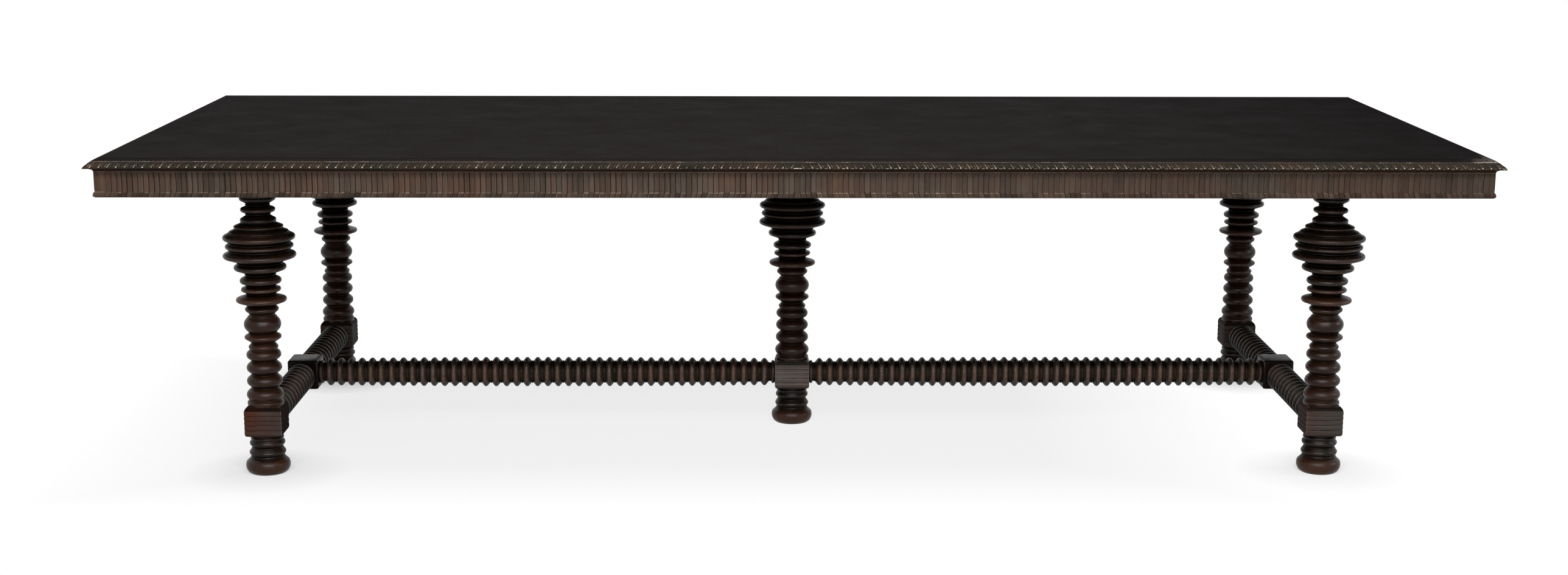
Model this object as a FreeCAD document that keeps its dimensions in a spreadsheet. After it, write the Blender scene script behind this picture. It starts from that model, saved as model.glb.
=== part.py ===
import FreeCAD, Part
import os
import re

import Sketcher
from FreeCAD import Placement, Rotation, Vector

# A long banquet table: a plain top with a sloping moulded lip, a hollow frieze with a bead at
# its foot, five ring-turned legs with square blocks and bun feet, and an H of turned stretchers.
# The origin is on the floor under the middle of the top. X runs along the table, Y across it
# with the front at minus Y, and Z is up.

doc = FreeCAD.newDocument("banquet_table")
sheet = doc.addObject("Spreadsheet::Sheet", "Sizes")

SIZES = (
    # The whole table, measured over the lip
    ("table_length", 3150, "over the lip, along X"),
    ("table_width", 1308, "over the lip, along Y"),
    ("table_height", 762, "floor to the top's upper face"),
    ("cut_overrun", 2, "how far a cut runs past the face it opens"),
    ("joint_clearance", 0.2, "play round dowels, pegs, tenons and tongues"),
    # The top
    ("top_thickness", 27, "panels and edge mouldings"),
    ("seam_offset", 45, "seam between the two panels, left of the middle"),
    ("lip_width", 42, "edge moulding, tip to glue line"),
    ("rim_inset", 22, "flat margin's outer edge, in from the tip"),
    ("tip_height", 16, "widest point, above the underside"),
    ("crown_radius", 34, "sloping carved face between margin and tip"),
    ("nose_drop", 4, "lower end of the rounded nose, below the tip"),
    ("nose_inset", 1.8, "lower end of the rounded nose, in from the tip"),
    ("cove_radius", 25, "hollow under the nose"),
    ("lip_foot_inset", 22.5, "small upright face at the moulding's foot"),
    ("lip_foot_height", 1.6, "that face's height"),
    ("tongue_thickness", 6, "loose tongue between panel and moulding"),
    ("tongue_reach", 9, "into each side of the joint"),
    ("tongue_end_gap", 30, "tongue's end to the mitre"),
    ("seam_dowel_radius", 5, ""),
    ("seam_dowel_reach", 28, "into each panel"),
    # The frieze, with insets measured in from the lip's tip
    ("frieze_height", 61, "top's underside to the frieze's foot"),
    ("frieze_top_inset", 27.2, "face at the top's underside"),
    ("frieze_foot_inset", 30, "face just over the bead"),
    ("frieze_hollow_radius", 128, "shallow hollow of the face"),
    ("frieze_back_inset", 52, "inner face"),
    ("bead_height", 12, ""),
    ("bead_seat_inset", 35, "back of the bead strip, let into the board"),
    ("bead_foot_inset", 28.2, "bead's face at its lower edge"),
    ("bead_radius", 9.5, "bead's rounded face"),
    # The frame under the top
    ("bearer_thickness", 30, ""),
    ("end_bearer_width", 110, ""),
    ("centre_bearer_width", 150, "wide enough to carry both sides of the seam"),
    ("rail_width", 60, ""),
    ("rail_offset", 300, "rail's middle line from the table's middle line"),
    ("frame_dowel_radius", 5, "rail and bearer end dowels"),
    ("frame_dowel_reach", 25, "into rails and bearers"),
    ("frieze_dowel_reach", 12, "into the frieze boards"),
    ("rail_dowel_spread", 30, "between the two dowels of a rail's end"),
    ("bearer_dowel_spread", 60, "between the two dowels of a bearer's end"),
    ("glue_block_size", 22, "square section"),
    ("glue_block_length", 70, ""),
    ("corner_block_size", 38, "square section"),
    ("corner_block_length", 52, "down the frieze's mitre"),
    ("screw_edge", 15, "screw rows in from a bearer's edge"),
    ("screw_radius", 2, "shank"),
    ("screw_head_radius", 4, "countersunk head"),
    ("screw_head_height", 2.4, ""),
    ("screw_length", 45, "over all"),
    # The legs
    ("leg_inset_x", 340, "lip's tip to a corner leg's axis, along the table"),
    ("leg_inset_y", 182, "lip's tip to a corner leg's axis, across the table"),
    ("block_width", 87, "square blocks of the legs"),
    ("block_height", 70, "stretcher block"),
    ("stretcher_height", 128, "stretcher's axis above the floor"),
    ("top_block_height", 49, "square block under the bearer"),
    ("disc_radius", 83, "widest disc of the turned stem"),
    ("foot_radius", 51.2, "bun foot"),
    ("leg_bolt_radius", 5, "shank"),
    ("leg_bolt_length", 98, "under the head"),
    ("bolt_head_radius", 9.6, "hexagon over its corners"),
    ("bolt_head_height", 6.4, ""),
    ("washer_radius", 12.5, ""),
    ("washer_thickness", 2, ""),
    ("bolt_recess_radius", 14, "recess in the bearer for head and washer"),
    ("bolt_recess_depth", 9, ""),
    ("leg_dowel_radius", 6, ""),
    ("leg_dowel_offset", 28, "from the leg's axis"),
    ("leg_dowel_bearer_reach", 20, "into the bearer"),
    ("leg_dowel_leg_reach", 20, "into the leg's top block"),
    # The stretchers
    ("mid_block_length", 80, "end stretcher's block, across the table"),
    ("mid_block_width", 76, "along the table"),
    ("mid_block_height", 74, ""),
    ("long_ring_pitch", 26.2, "crest to crest, before the rings are fitted to the length"),
    ("end_ring_pitch", 30.2, "the same, on the end stretchers"),
    ("ring_radius", 34.8, "stretcher rings"),
    ("ring_swell", 2.6, "extra ring radius at a long stretcher's mid length"),
    ("groove_depth", 9.8, "between neighbouring rings"),
    ("collar_width", 9, "rounded collar beside a block"),
    ("collar_radius", 29.5, ""),
    ("neck_width", 4.3, "from the collar to the run of rings"),
    ("neck_radius", 24.4, ""),
    ("tenon_radius", 16, ""),
    ("end_tenon_length", 38, "end stretcher into a leg's block"),
    ("long_tenon_length", 34, "long stretcher into a block"),
    ("peg_radius", 4, "pegs through the tenons"),
    ("peg_past_tenon", 6, "peg's end past the tenon"),
)

for row, (alias, size, note) in enumerate(SIZES, start=1):
    sheet.set(f"A{row}", alias)
    sheet.set(f"B{row}", str(size))
    sheet.setAlias(f"B{row}", alias)
    sheet.set(f"C{row}", note)
doc.recompute()

ALIASES = {alias for alias, size, note in SIZES}

# Heights above the floor and other sums that several pieces share, as expressions in aliases
UNDERSIDE = "(table_height - top_thickness)"
BEARER_UNDERSIDE = "(table_height - top_thickness - bearer_thickness)"
BEARER_MIDDLE = "(table_height - top_thickness - bearer_thickness / 2)"
FRIEZE_FOOT = "(table_height - top_thickness - frieze_height)"
BLOCK_FOOT = "(stretcher_height - block_height / 2)"
BLOCK_HEAD = "(stretcher_height + block_height / 2)"
STEM_HEAD = "(table_height - top_thickness - bearer_thickness - top_block_height)"
INNER_WIDTH = "(table_width - 2 * frieze_back_inset)"
LEG_X = "(table_length / 2 - leg_inset_x)"
LEG_Y = "(table_width / 2 - leg_inset_y)"
PANEL_REACH_X = "(table_length / 2 - lip_width)"
PANEL_REACH_Y = "(table_width / 2 - lip_width)"

X_AXIS = (1, 0, 0)
Y_AXIS = (0, 1, 0)
Z_AXIS = (0, 0, 1)
FULL_TURN = 360

# The four sides of the top, as seen from above: the corner where a side starts, its turn about
# Z and its length. A side runs along its own X, and its own Y points inward.
SIDES = {
    "front": ("-1 * table_length / 2", "-1 * table_width / 2", 0, "table_length", X_AXIS),
    "right": ("table_length / 2", "-1 * table_width / 2", 90, "table_width", Y_AXIS),
    "back": ("table_length / 2", "table_width / 2", 180, "table_length", (-1, 0, 0)),
    "left": ("-1 * table_length / 2", "table_width / 2", 270, "table_width", (0, -1, 0)),
}

# The bearers: middle line along X, width, and the legs under it as signs of the offset along Y
BEARERS = {
    "left": (f"-1 * {LEG_X}", "end_bearer_width", (-1, 1)),
    "centre": ("0", "centre_bearer_width", (0,)),
    "right": (LEG_X, "end_bearer_width", (-1, 1)),
}

# The legs, as signs of their offsets along X and Y
LEGS = {
    "front_left_leg": (-1, -1),
    "front_right_leg": (1, -1),
    "back_left_leg": (-1, 1),
    "back_right_leg": (1, 1),
    "centre_leg": (0, 0),
}

# Places as shares of half the inner length or width of the frame
SCREW_SHARES = (-0.93, -0.63, -0.22, 0.22, 0.63, 0.93)
SEAM_DOWEL_SHARES = (-0.8, -0.55, -0.28, 0, 0.28, 0.55, 0.8)
LONG_BLOCK_SHARES = (-0.93, -0.62, -0.42, -0.22, 0.22, 0.42, 0.62, 0.93)
SHORT_BLOCK_SHARES = (-0.55, 0, 0.55)

# Turned forms: place along the stretch, radius, reach each way and rise. Place and reach are
# shares of the stretch's length, radius and rise shares of its widest radius. A rise makes a
# ring, a negative one a hollow, and a form without reach is a corner.
CORE_SHARE = 0.41
FOOT_SHARES = (
    (0.000, 0.800, 0, 0),
    (0.043, 0.908, 0, 0),
    (0.197, 1.000, 0.097, 0.037),
    (0.389, 0.773, 0.006, -0.010),
    (0.417, 0.771, 0.014, 0.016),
    (0.452, 0.734, 0.009, -0.012),
    (0.527, 0.822, 0.045, 0.035),
    (0.665, 0.689, 0.017, -0.020),
    (0.767, 0.797, 0.043, 0.035),
    (0.854, 0.715, 0.010, -0.014),
    (0.905, 0.750, 0.020, 0.020),
    (0.959, 0.684, 0.013, -0.016),
)


def fine_bead_shares(place, radius):
    """A thin bead between two narrow grooves, in the bottom of a hollow of the stem."""
    beside, deeper, reach, rise = 0.0053, 0.030, 0.0026, 0.010
    return (
        (place - beside, radius - deeper, 0, 0),
        (place, radius, reach, rise),
        (place + beside, radius - deeper, 0, 0),
    )


STEM_SHARES = (
    # Collar on the block and four plump rings
    (0.009, 0.501, 0.0073, 0.008),
    (0.023, 0.451, 0.0028, -0.011),
    (0.049, 0.512, 0.0126, 0.033),
    (0.084, 0.373, 0.0053, -0.024),
    (0.115, 0.493, 0.0130, 0.035),
    (0.148, 0.359, 0.0053, -0.024),
    (0.179, 0.486, 0.0130, 0.035),
    (0.212, 0.352, 0.0049, -0.022),
    (0.241, 0.478, 0.0114, 0.028),
    # Small ring, saucer, and the bulb with its step
    (0.265, 0.377, 0.0024, -0.010),
    (0.279, 0.408, 0.0061, 0.014),
    (0.298, 0.328, 0.0037, -0.014),
    (0.326, 0.507, 0.0069, 0.020),
    (0.346, 0.373, 0.0024, -0.010),
    (0.387, 0.510, 0.0233, 0.046),
    (0.417, 0.417, 0.0012, -0.006),
    (0.423, 0.402, 0.0026, 0.008),
    (0.434, 0.354, 0.0045, -0.010),
    (0.459, 0.463, 0.0061, 0.018),
    (0.477, 0.393, 0.0024, -0.010),
    # Plate, and three rings that widen towards the discs
    (0.505, 0.696, 0.0069, 0.024),
    *fine_bead_shares(0.534, 0.419),
    (0.554, 0.547, 0.0057, 0.022),
    *fine_bead_shares(0.572, 0.422),
    (0.596, 0.571, 0.0085, 0.023),
    *fine_bead_shares(0.625, 0.429),
    (0.659, 0.720, 0.0085, 0.025),
    *fine_bead_shares(0.680, 0.634),
    # Three wide discs, the upper one with a step on its upper face
    (0.716, 1.000, 0.0077, 0.028),
    *fine_bead_shares(0.742, 0.852),
    (0.760, 0.931, 0.0057, 0.018),
    *fine_bead_shares(0.777, 0.858),
    (0.802, 0.990, 0.0081, 0.028),
    (0.822, 0.839, 0.0012, -0.006),
    (0.828, 0.812, 0.0028, 0.011),
    (0.843, 0.648, 0.0018, -0.008),
    # Shoulder, bell, neck ring and the collar under the top block
    (0.852, 0.677, 0.0049, 0.016),
    (0.870, 0.484, 0.0014, -0.006),
    (0.882, 0.494, 0.0085, 0.012),
    *fine_bead_shares(0.912, 0.352),
    (0.932, 0.477, 0.0069, 0.023),
    *fine_bead_shares(0.955, 0.342),
    (0.985, 0.496, 0.0085, 0.020),
)

# One ring of a stretcher, its forms about its crest. Place and reach are shares of the pitch,
# depth under the crest and rise shares of the groove's depth. The last form is the thin bead in
# the groove, which the last ring of a run goes without.
RING_SHARES = (
    (-0.40, 1.00, 0, 0),
    (0, 0, 0.21, 0.34),
    (0.40, 1.00, 0, 0),
    (0.50, 0.86, 0.07, 0.14),
)
COLLAR_REACH_SHARE = 0.46
COLLAR_RISE_SHARE = 0.10
NECK_BEAD_SHARE = 0.5
NECK_REACH_SHARE = 0.3
NECK_RISE_SHARE = 0.04

nodes = []


def full(text):
    """An expression in aliases, written as the document's other objects read it."""
    return re.sub(r"[a-z_]+", lambda word: "Sizes." * (word[0] in ALIASES) + word[0], text)


def value(text):
    """The number that an expression in aliases gives."""
    return float(sheet.evalExpression(full(text)))


def bind(thing, texts):
    """Ties properties of an object to expressions in aliases."""
    for name, text in texts.items():
        thing.setExpression(name, full(text))


def place(thing, x, y, z):
    """Ties an object's place to expressions in aliases."""
    bind(thing, {"Placement.Base.x": x, "Placement.Base.y": y, "Placement.Base.z": z})


def keep(thing, name):
    """Names a sub-part and lists it for writing."""
    thing.Label = name
    nodes.append(thing)
    return thing


def new_body(name, spot=("0", "0", "0"), turn=0):
    """A sub-part's body, turned about Z and set at its spot."""
    made = doc.addObject("PartDesign::Body", name)
    made.Placement = Placement(Vector(), Rotation(Vector(*Z_AXIS), turn))
    place(made, *spot)
    return keep(made, name)


def add_box(body, name, lengths, corner, kind="Additive"):
    """A box added to a body, or cut from it, given by its lengths and its lowest corner."""
    made = body.newObject(f"PartDesign::{kind}Box", name)
    bind(made, dict(zip(("Length", "Width", "Height"), lengths)))
    place(made, *corner)


def bore(body, name, radius, depth, mouth, way):
    """A round hole in a body, from its mouth on the surface along a unit vector."""
    made = body.newObject("PartDesign::SubtractiveCylinder", name)
    made.Placement = Placement(Vector(), Rotation(Vector(*Z_AXIS), Vector(*way)))
    bind(made, {"Radius": radius, "Height": f"{depth} + cut_overrun"})
    place(made, *(f"{spot} - ({step}) * cut_overrun" for spot, step in zip(mouth, way)))


def new_sketch(body, role, name):
    """An empty sketch on one of a body's own origin planes."""
    made = body.newObject("Sketcher::SketchObject", name)
    plane = next(each for each in body.Origin.OriginFeatures if each.Role == role)
    made.AttachmentSupport = [(plane, "")]
    made.MapMode = "FlatFace"
    return made


def fix(sketch, edge, end, spot):
    """Ties an edge's end to a spot, a pair of expressions; a zero puts it on the sketch's axis."""
    for text, axis, kind in zip(spot, (-2, -1), ("DistanceX", "DistanceY")):
        if text == "0":
            sketch.addConstraint(Sketcher.Constraint("PointOnObject", edge, end, axis))
            continue
        tie = Sketcher.Constraint(kind, -1, 1, edge, end, value(text))
        number = sketch.addConstraint(tie)
        sketch.setExpression(f"Constraints[{number}]", full(text))


def arc_between(start, end, radius):
    """An arc to the left of the way from start to end, or to the right for a negative radius.
    It is always laid counterclockwise, so one to the left starts at its far end."""
    half = (end - start) / 2
    rise = abs(radius) - (radius ** 2 - half.Length ** 2) ** 0.5
    side = Vector(-half.y, half.x, 0).normalize()
    if radius > 0:
        return Part.Arc(end, start + half + side * rise, start)
    return Part.Arc(start, start + half - side * rise, end)


def draw(sketch, corners, arcs=None):
    """A closed outline through corners, pairs of expressions. arcs gives an edge a radius, by
    the number of the corner where it starts, and it bends as arc_between says."""
    arcs = arcs or {}
    spots = [Vector(value(across), value(up), 0) for across, up in corners]
    joints = []
    for number, (start, end) in enumerate(zip(spots, spots[1:] + spots[:1])):
        if number not in arcs:
            edge = sketch.addGeometry(Part.LineSegment(start, end), False)
            joints.append((edge, 1, 2))
            continue
        radius = value(arcs[number])
        edge = sketch.addGeometry(arc_between(start, end, radius), False)
        joints.append((edge, 2, 1) if radius > 0 else (edge, 1, 2))
    for (edge, first, last), (following, second, _) in zip(joints, joints[1:] + joints[:1]):
        sketch.addConstraint(Sketcher.Constraint("Coincident", edge, last, following, second))
    for (edge, first, _), corner in zip(joints, corners):
        fix(sketch, edge, first, corner)
    for number, text in arcs.items():
        radius = text.removeprefix("-1 * ")
        tie = sketch.addConstraint(Sketcher.Constraint("Radius", joints[number][0], value(radius)))
        sketch.setExpression(f"Constraints[{tie}]", full(radius))


def side_spot(side, along, inward):
    """The X and Y of a point of a side, along it from its corner and inward from the lip's tip."""
    corner_x, corner_y, turn, run, (step_x, step_y, _) = SIDES[side]
    x = f"{corner_x} + ({step_x}) * ({along}) - ({step_y}) * ({inward})"
    y = f"{corner_y} + ({step_y}) * ({along}) + ({step_x}) * ({inward})"
    return x, y


def moulding(name, side, foot, depth, corners, arcs=None):
    """A length of moulding along one side, with its outline's across measured inward from the
    lip's tip and its up from its own foot, and both ends cut to a mitre."""
    corner_x, corner_y, turn, run, _ = SIDES[side]
    body = new_body(name, (corner_x, corner_y, foot), turn)
    section = new_sketch(body, "YZ_Plane", f"{name}_section")
    draw(section, corners, arcs)
    length = body.newObject("PartDesign::Pad", f"{name}_length")
    length.Profile = section
    bind(length, {"Length": run})
    reach = f"({depth} + cut_overrun)"
    ends = new_sketch(body, "XY_Plane", f"{name}_mitre_lines")
    draw(ends, (("0", "0"), (reach, reach), ("0", reach)))
    draw(ends, ((run, "0"), (run, reach), (f"{run} - {reach}", reach)))
    mitres = body.newObject("PartDesign::Pocket", f"{name}_mitres")
    mitres.Profile = ends
    mitres.Type = "ThroughAll"
    mitres.Reversed = True
    return body


def rod(name, radius, length, start, way):
    """A round rod from its start along a unit vector."""
    made = doc.addObject("Part::Cylinder", name)
    made.Placement = Placement(Vector(), Rotation(Vector(*Z_AXIS), Vector(*way)))
    bind(made, {"Radius": radius, "Height": length})
    place(made, *start)
    return made


def bar(name, lengths, corner, turn=0):
    """A square-cut stick given by its lengths and the corner that it is turned about."""
    made = doc.addObject("Part::Box", name)
    made.Placement = Placement(Vector(), Rotation(Vector(*Z_AXIS), turn))
    bind(made, dict(zip(("Length", "Width", "Height"), lengths)))
    place(made, *corner)
    return made


def joined(name, pieces):
    """One solid of several."""
    made = doc.addObject("Part::MultiFuse", name)
    made.Shapes = pieces
    return made


def group(name, pieces):
    """A sub-part of like pieces that stay separate solids."""
    made = doc.addObject("Part::Compound", name)
    made.Links = pieces
    return keep(made, name)


def scaled(shares, start, length, radius):
    """Turned forms at real size, from shares of a stretch's length and widest radius."""
    return [(start + spot * length, wide * radius, reach * length, rise * radius)
            for spot, wide, reach, rise in shares]


def turned(body, role, name, forms, standing=False):
    """A solid of revolution through turned forms at real size, joined by straight cuts. It lies
    along its sketch's first axis, or stands along the second."""
    sketch = new_sketch(body, role, f"{name}_outline")

    def spot(along, radius):
        return Vector(radius, along, 0) if standing else Vector(along, radius, 0)

    def line(start, end):
        if start != end:
            sketch.addGeometry(Part.LineSegment(start, end), False)
        return end

    first = spot(forms[0][0], 0)
    tail = first
    for along, radius, reach, rise in forms:
        tail = line(tail, spot(along - reach, radius - rise))
        if reach:
            crest = spot(along, radius)
            end = spot(along + reach, radius - rise)
            sketch.addGeometry(Part.Arc(tail, crest, end), False)
            tail = end
    tail = line(tail, spot(forms[-1][0], 0))
    line(tail, first)
    made = body.newObject("PartDesign::Revolution", name)
    made.Profile = sketch
    made.ReferenceAxis = (sketch, ["V_Axis" if standing else "H_Axis"])
    made.Angle = FULL_TURN


def edge_mouldings():
    """The carved lip round the top, one length a side, grooved for the loose tongues."""
    low = "(top_thickness / 2 - tongue_thickness / 2 - joint_clearance)"
    high = "(top_thickness / 2 + tongue_thickness / 2 + joint_clearance)"
    deep = "(lip_width - tongue_reach - joint_clearance)"
    corners = (
        ("lip_foot_inset", "0"),
        ("lip_width", "0"),
        ("lip_width", low),
        (deep, low),
        (deep, high),
        ("lip_width", high),
        ("lip_width", "top_thickness"),
        ("rim_inset", "top_thickness"),
        ("0", "tip_height"),
        ("nose_inset", "tip_height - nose_drop"),
        ("lip_foot_inset", "lip_foot_height"),
    )
    nose_radius = "(nose_drop * nose_drop + nose_inset * nose_inset) / (2 * nose_inset)"
    arcs = {7: "-1 * crown_radius", 8: f"-1 * {nose_radius}", 9: "cove_radius"}
    for side in SIDES:
        moulding(f"{side}_edge_moulding", side, UNDERSIDE, "lip_width", corners, arcs)


def edge_tongues():
    """A loose tongue in the joint between the panels and each edge moulding."""
    for side, (_, _, turn, run, _) in SIDES.items():
        x, y = side_spot(side, "lip_width + tongue_end_gap", "lip_width - tongue_reach")
        length = f"{run} - 2 * lip_width - 2 * tongue_end_gap"
        z = f"{UNDERSIDE} + top_thickness / 2 - tongue_thickness / 2"
        name = f"{side}_edge_tongue"
        keep(bar(name, (length, "2 * tongue_reach", "tongue_thickness"), (x, y, z), turn), name)


def friezes():
    """The boards under the top, a little hollow in the face and stepped back for the bead."""
    corners = (
        ("bead_seat_inset", "0"),
        ("frieze_back_inset", "0"),
        ("frieze_back_inset", "frieze_height"),
        ("frieze_top_inset", "frieze_height"),
        ("frieze_foot_inset", "bead_height"),
        ("bead_seat_inset", "bead_height"),
    )
    arcs = {3: "frieze_hollow_radius"}
    boards = {}
    for side in SIDES:
        name = f"{side}_frieze_board"
        boards[side] = moulding(name, side, FRIEZE_FOOT, "frieze_back_inset", corners, arcs)
    for side, way in (("front", 1), ("back", -1)):
        for middle, _, _ in BEARERS.values():
            for turn in (-1, 1):
                x = f"table_length / 2 + ({way}) * ({middle}) + ({turn}) * bearer_dowel_spread / 2"
                mouth = (x, "frieze_back_inset", "frieze_height - bearer_thickness / 2")
                bore(boards[side], f"{side}_frieze_dowel_hole", "frame_dowel_radius + joint_clearance",
                     "(frieze_dowel_reach + joint_clearance)", mouth, (0, -1, 0))


def bead_strips():
    """The bead let into the foot of each frieze board."""
    corners = (
        ("bead_foot_inset", "0"),
        ("bead_seat_inset", "0"),
        ("bead_seat_inset", "bead_height"),
        ("frieze_foot_inset", "bead_height"),
    )
    arcs = {3: "-1 * bead_radius"}
    for side in SIDES:
        moulding(f"{side}_bead_strip", side, FRIEZE_FOOT, "bead_seat_inset", corners, arcs)


def screw_places():
    """Every wood screw's X and Y, with the bearer it goes through."""
    for bearer, (middle, width, _) in BEARERS.items():
        for turn in (-1, 1):
            for share in SCREW_SHARES:
                x = f"({middle} + ({turn}) * ({width} / 2 - screw_edge))"
                yield bearer, turn, x, f"({share}) * {INNER_WIDTH} / 2"


def top_panels():
    """The two halves of the top, grooved at three edges, doweled at the seam, and drilled from
    below for the screws."""
    seam = "-1 * seam_offset"
    halves = {
        "top_panel_left": (f"-1 * {PANEL_REACH_X}", seam, -1),
        "top_panel_right": (seam, PANEL_REACH_X, 1),
    }
    groove_foot = f"({UNDERSIDE} + top_thickness / 2 - tongue_thickness / 2 - joint_clearance)"
    groove_height = "(tongue_thickness + 2 * joint_clearance)"
    groove_depth = "(tongue_reach + joint_clearance + cut_overrun)"
    for name, (start, end, hand) in halves.items():
        body = new_body(name)
        length = f"({end} - ({start}))"
        lengths = (length, f"2 * {PANEL_REACH_Y}", "top_thickness")
        add_box(body, f"{name}_board", lengths, (start, f"-1 * {PANEL_REACH_Y}", UNDERSIDE))
        past = f"({length} + 2 * cut_overrun)"
        near = f"-1 * {PANEL_REACH_Y} - cut_overrun"
        far = f"{PANEL_REACH_Y} - tongue_reach - joint_clearance"
        for y in (near, far):
            add_box(body, f"{name}_long_groove", (past, groove_depth, groove_height),
                    (f"{start} - cut_overrun", y, groove_foot), "Subtractive")
        outer = f"{start} - cut_overrun" if hand < 0 else f"{end} - tongue_reach - joint_clearance"
        add_box(body, f"{name}_end_groove",
                (groove_depth, f"2 * {PANEL_REACH_Y} + 2 * cut_overrun", groove_height),
                (outer, near, groove_foot), "Subtractive")
        for share in SEAM_DOWEL_SHARES:
            mouth = (seam, f"({share}) * {PANEL_REACH_Y}", f"{UNDERSIDE} + top_thickness / 2")
            bore(body, f"{name}_seam_hole", "seam_dowel_radius + joint_clearance",
                 "(seam_dowel_reach + joint_clearance)", mouth, (hand, 0, 0))
        for bearer, turn, x, y in screw_places():
            if (value(x) - value(seam)) * hand > 0:
                bore(body, f"{name}_{bearer}_pilot", "screw_radius + joint_clearance",
                     "(screw_length - bearer_thickness + joint_clearance)", (x, y, UNDERSIDE), Z_AXIS)


def seam_dowels():
    """Dowels across the seam of the top."""
    group("seam_dowels", [
        rod("seam_dowel", "seam_dowel_radius", "2 * seam_dowel_reach",
            ("-1 * seam_offset - seam_dowel_reach", f"({share}) * {PANEL_REACH_Y}",
             f"{UNDERSIDE} + top_thickness / 2"), X_AXIS)
        for share in SEAM_DOWEL_SHARES
    ])


def rail_ends():
    """Each end of each rail: the rail's signs along X and Y, the X of the bearer's face there,
    and the way from that face into the bearer."""
    for hand in (-1, 1):
        for depth in (-1, 1):
            yield hand, depth, f"({hand}) * centre_bearer_width / 2", -hand
            yield hand, depth, f"({hand}) * ({LEG_X} - end_bearer_width / 2)", hand


def bearers():
    """The cross bearers under the top, bored for leg bolts, dowels and screws."""
    hole = "frame_dowel_radius + joint_clearance"
    for name, (middle, width, legs) in BEARERS.items():
        body = new_body(f"{name}_bearer")
        add_box(body, f"{name}_board", (width, INNER_WIDTH, "bearer_thickness"),
                (f"{middle} - {width} / 2", f"-1 * {INNER_WIDTH} / 2", BEARER_UNDERSIDE))
        for sign in legs:
            y = f"({sign}) * {LEG_Y}"
            bore(body, f"{name}_bolt_hole", "leg_bolt_radius + joint_clearance",
                 "(bearer_thickness + cut_overrun)", (middle, y, UNDERSIDE), (0, 0, -1))
            bore(body, f"{name}_bolt_recess", "bolt_recess_radius", "bolt_recess_depth",
                 (middle, y, UNDERSIDE), (0, 0, -1))
            for turn in (-1, 1):
                mouth = (f"{middle} + ({turn}) * leg_dowel_offset", y, BEARER_UNDERSIDE)
                bore(body, f"{name}_leg_dowel_hole", "leg_dowel_radius + joint_clearance",
                     "(leg_dowel_bearer_reach + joint_clearance)", mouth, Z_AXIS)
        for end in (-1, 1):
            for turn in (-1, 1):
                mouth = (f"{middle} + ({turn}) * bearer_dowel_spread / 2",
                         f"({end}) * {INNER_WIDTH} / 2", BEARER_MIDDLE)
                bore(body, f"{name}_end_hole", hole, "(frame_dowel_reach + joint_clearance)",
                     mouth, (0, -end, 0))
        for bearer, turn, x, y in screw_places():
            if bearer == name:
                bore(body, f"{name}_screw_hole", "screw_radius + joint_clearance",
                     "(bearer_thickness + cut_overrun)", (x, y, BEARER_UNDERSIDE), Z_AXIS)
                bore(body, f"{name}_screw_recess", "screw_head_radius + joint_clearance",
                     "screw_head_height", (x, y, BEARER_UNDERSIDE), Z_AXIS)
        for hand, depth, face, way in rail_ends():
            if abs(value(face) - value(middle)) < value(width):
                for turn in (-1, 1):
                    y = f"({depth}) * rail_offset + ({turn}) * rail_dowel_spread / 2"
                    bore(body, f"{name}_rail_hole", hole, "(frame_dowel_reach + joint_clearance)",
                         (face, y, BEARER_MIDDLE), (way, 0, 0))


def rails():
    """Long rails between the bearers, two in each bay."""
    hole = "frame_dowel_radius + joint_clearance"
    length = f"({LEG_X} - end_bearer_width / 2 - centre_bearer_width / 2)"
    for hand, side in ((-1, "left"), (1, "right")):
        for depth, face in ((-1, "front"), (1, "back")):
            name = f"{side}_{face}_rail"
            body = new_body(name)
            near = "centre_bearer_width / 2"
            start = near if hand > 0 else f"-1 * ({near}) - {length}"
            add_box(body, f"{name}_board", (length, "rail_width", "bearer_thickness"),
                    (start, f"({depth}) * rail_offset - rail_width / 2", BEARER_UNDERSIDE))
            for end_hand, end_depth, end_face, way in rail_ends():
                if (end_hand, end_depth) != (hand, depth):
                    continue
                for turn in (-1, 1):
                    y = f"({depth}) * rail_offset + ({turn}) * rail_dowel_spread / 2"
                    bore(body, f"{name}_dowel_hole", hole, "(frame_dowel_reach + joint_clearance)",
                         (end_face, y, BEARER_MIDDLE), (-way, 0, 0))


def frame_dowels():
    """Dowels between rails and bearers, and from the bearers' ends into the frieze."""
    group("rail_dowels", [
        rod("rail_dowel", "frame_dowel_radius", "2 * frame_dowel_reach",
            (f"{face} - frame_dowel_reach",
             f"({depth}) * rail_offset + ({turn}) * rail_dowel_spread / 2", BEARER_MIDDLE), X_AXIS)
        for hand, depth, face, way in rail_ends()
        for turn in (-1, 1)
    ])
    group("bearer_end_dowels", [
        rod("bearer_end_dowel", "frame_dowel_radius", "frame_dowel_reach + frieze_dowel_reach",
            (f"{middle} + ({turn}) * bearer_dowel_spread / 2",
             f"({end}) * ({INNER_WIDTH} / 2 - frame_dowel_reach)", BEARER_MIDDLE), (0, end, 0))
        for middle, width, legs in BEARERS.values()
        for end in (-1, 1)
        for turn in (-1, 1)
    ])


def top_screws():
    """Wood screws up through the bearers into the panels, heads flush underneath."""
    screws = []
    for _, _, x, y in screw_places():
        head = rod("screw_head", "screw_head_radius", "screw_head_height",
                   (x, y, BEARER_UNDERSIDE), Z_AXIS)
        shank = rod("screw_shank", "screw_radius", "screw_length - screw_head_height",
                    (x, y, f"{BEARER_UNDERSIDE} + screw_head_height"), Z_AXIS)
        screws.append(joined("screw", [head, shank]))
    group("top_screws", screws)


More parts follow.
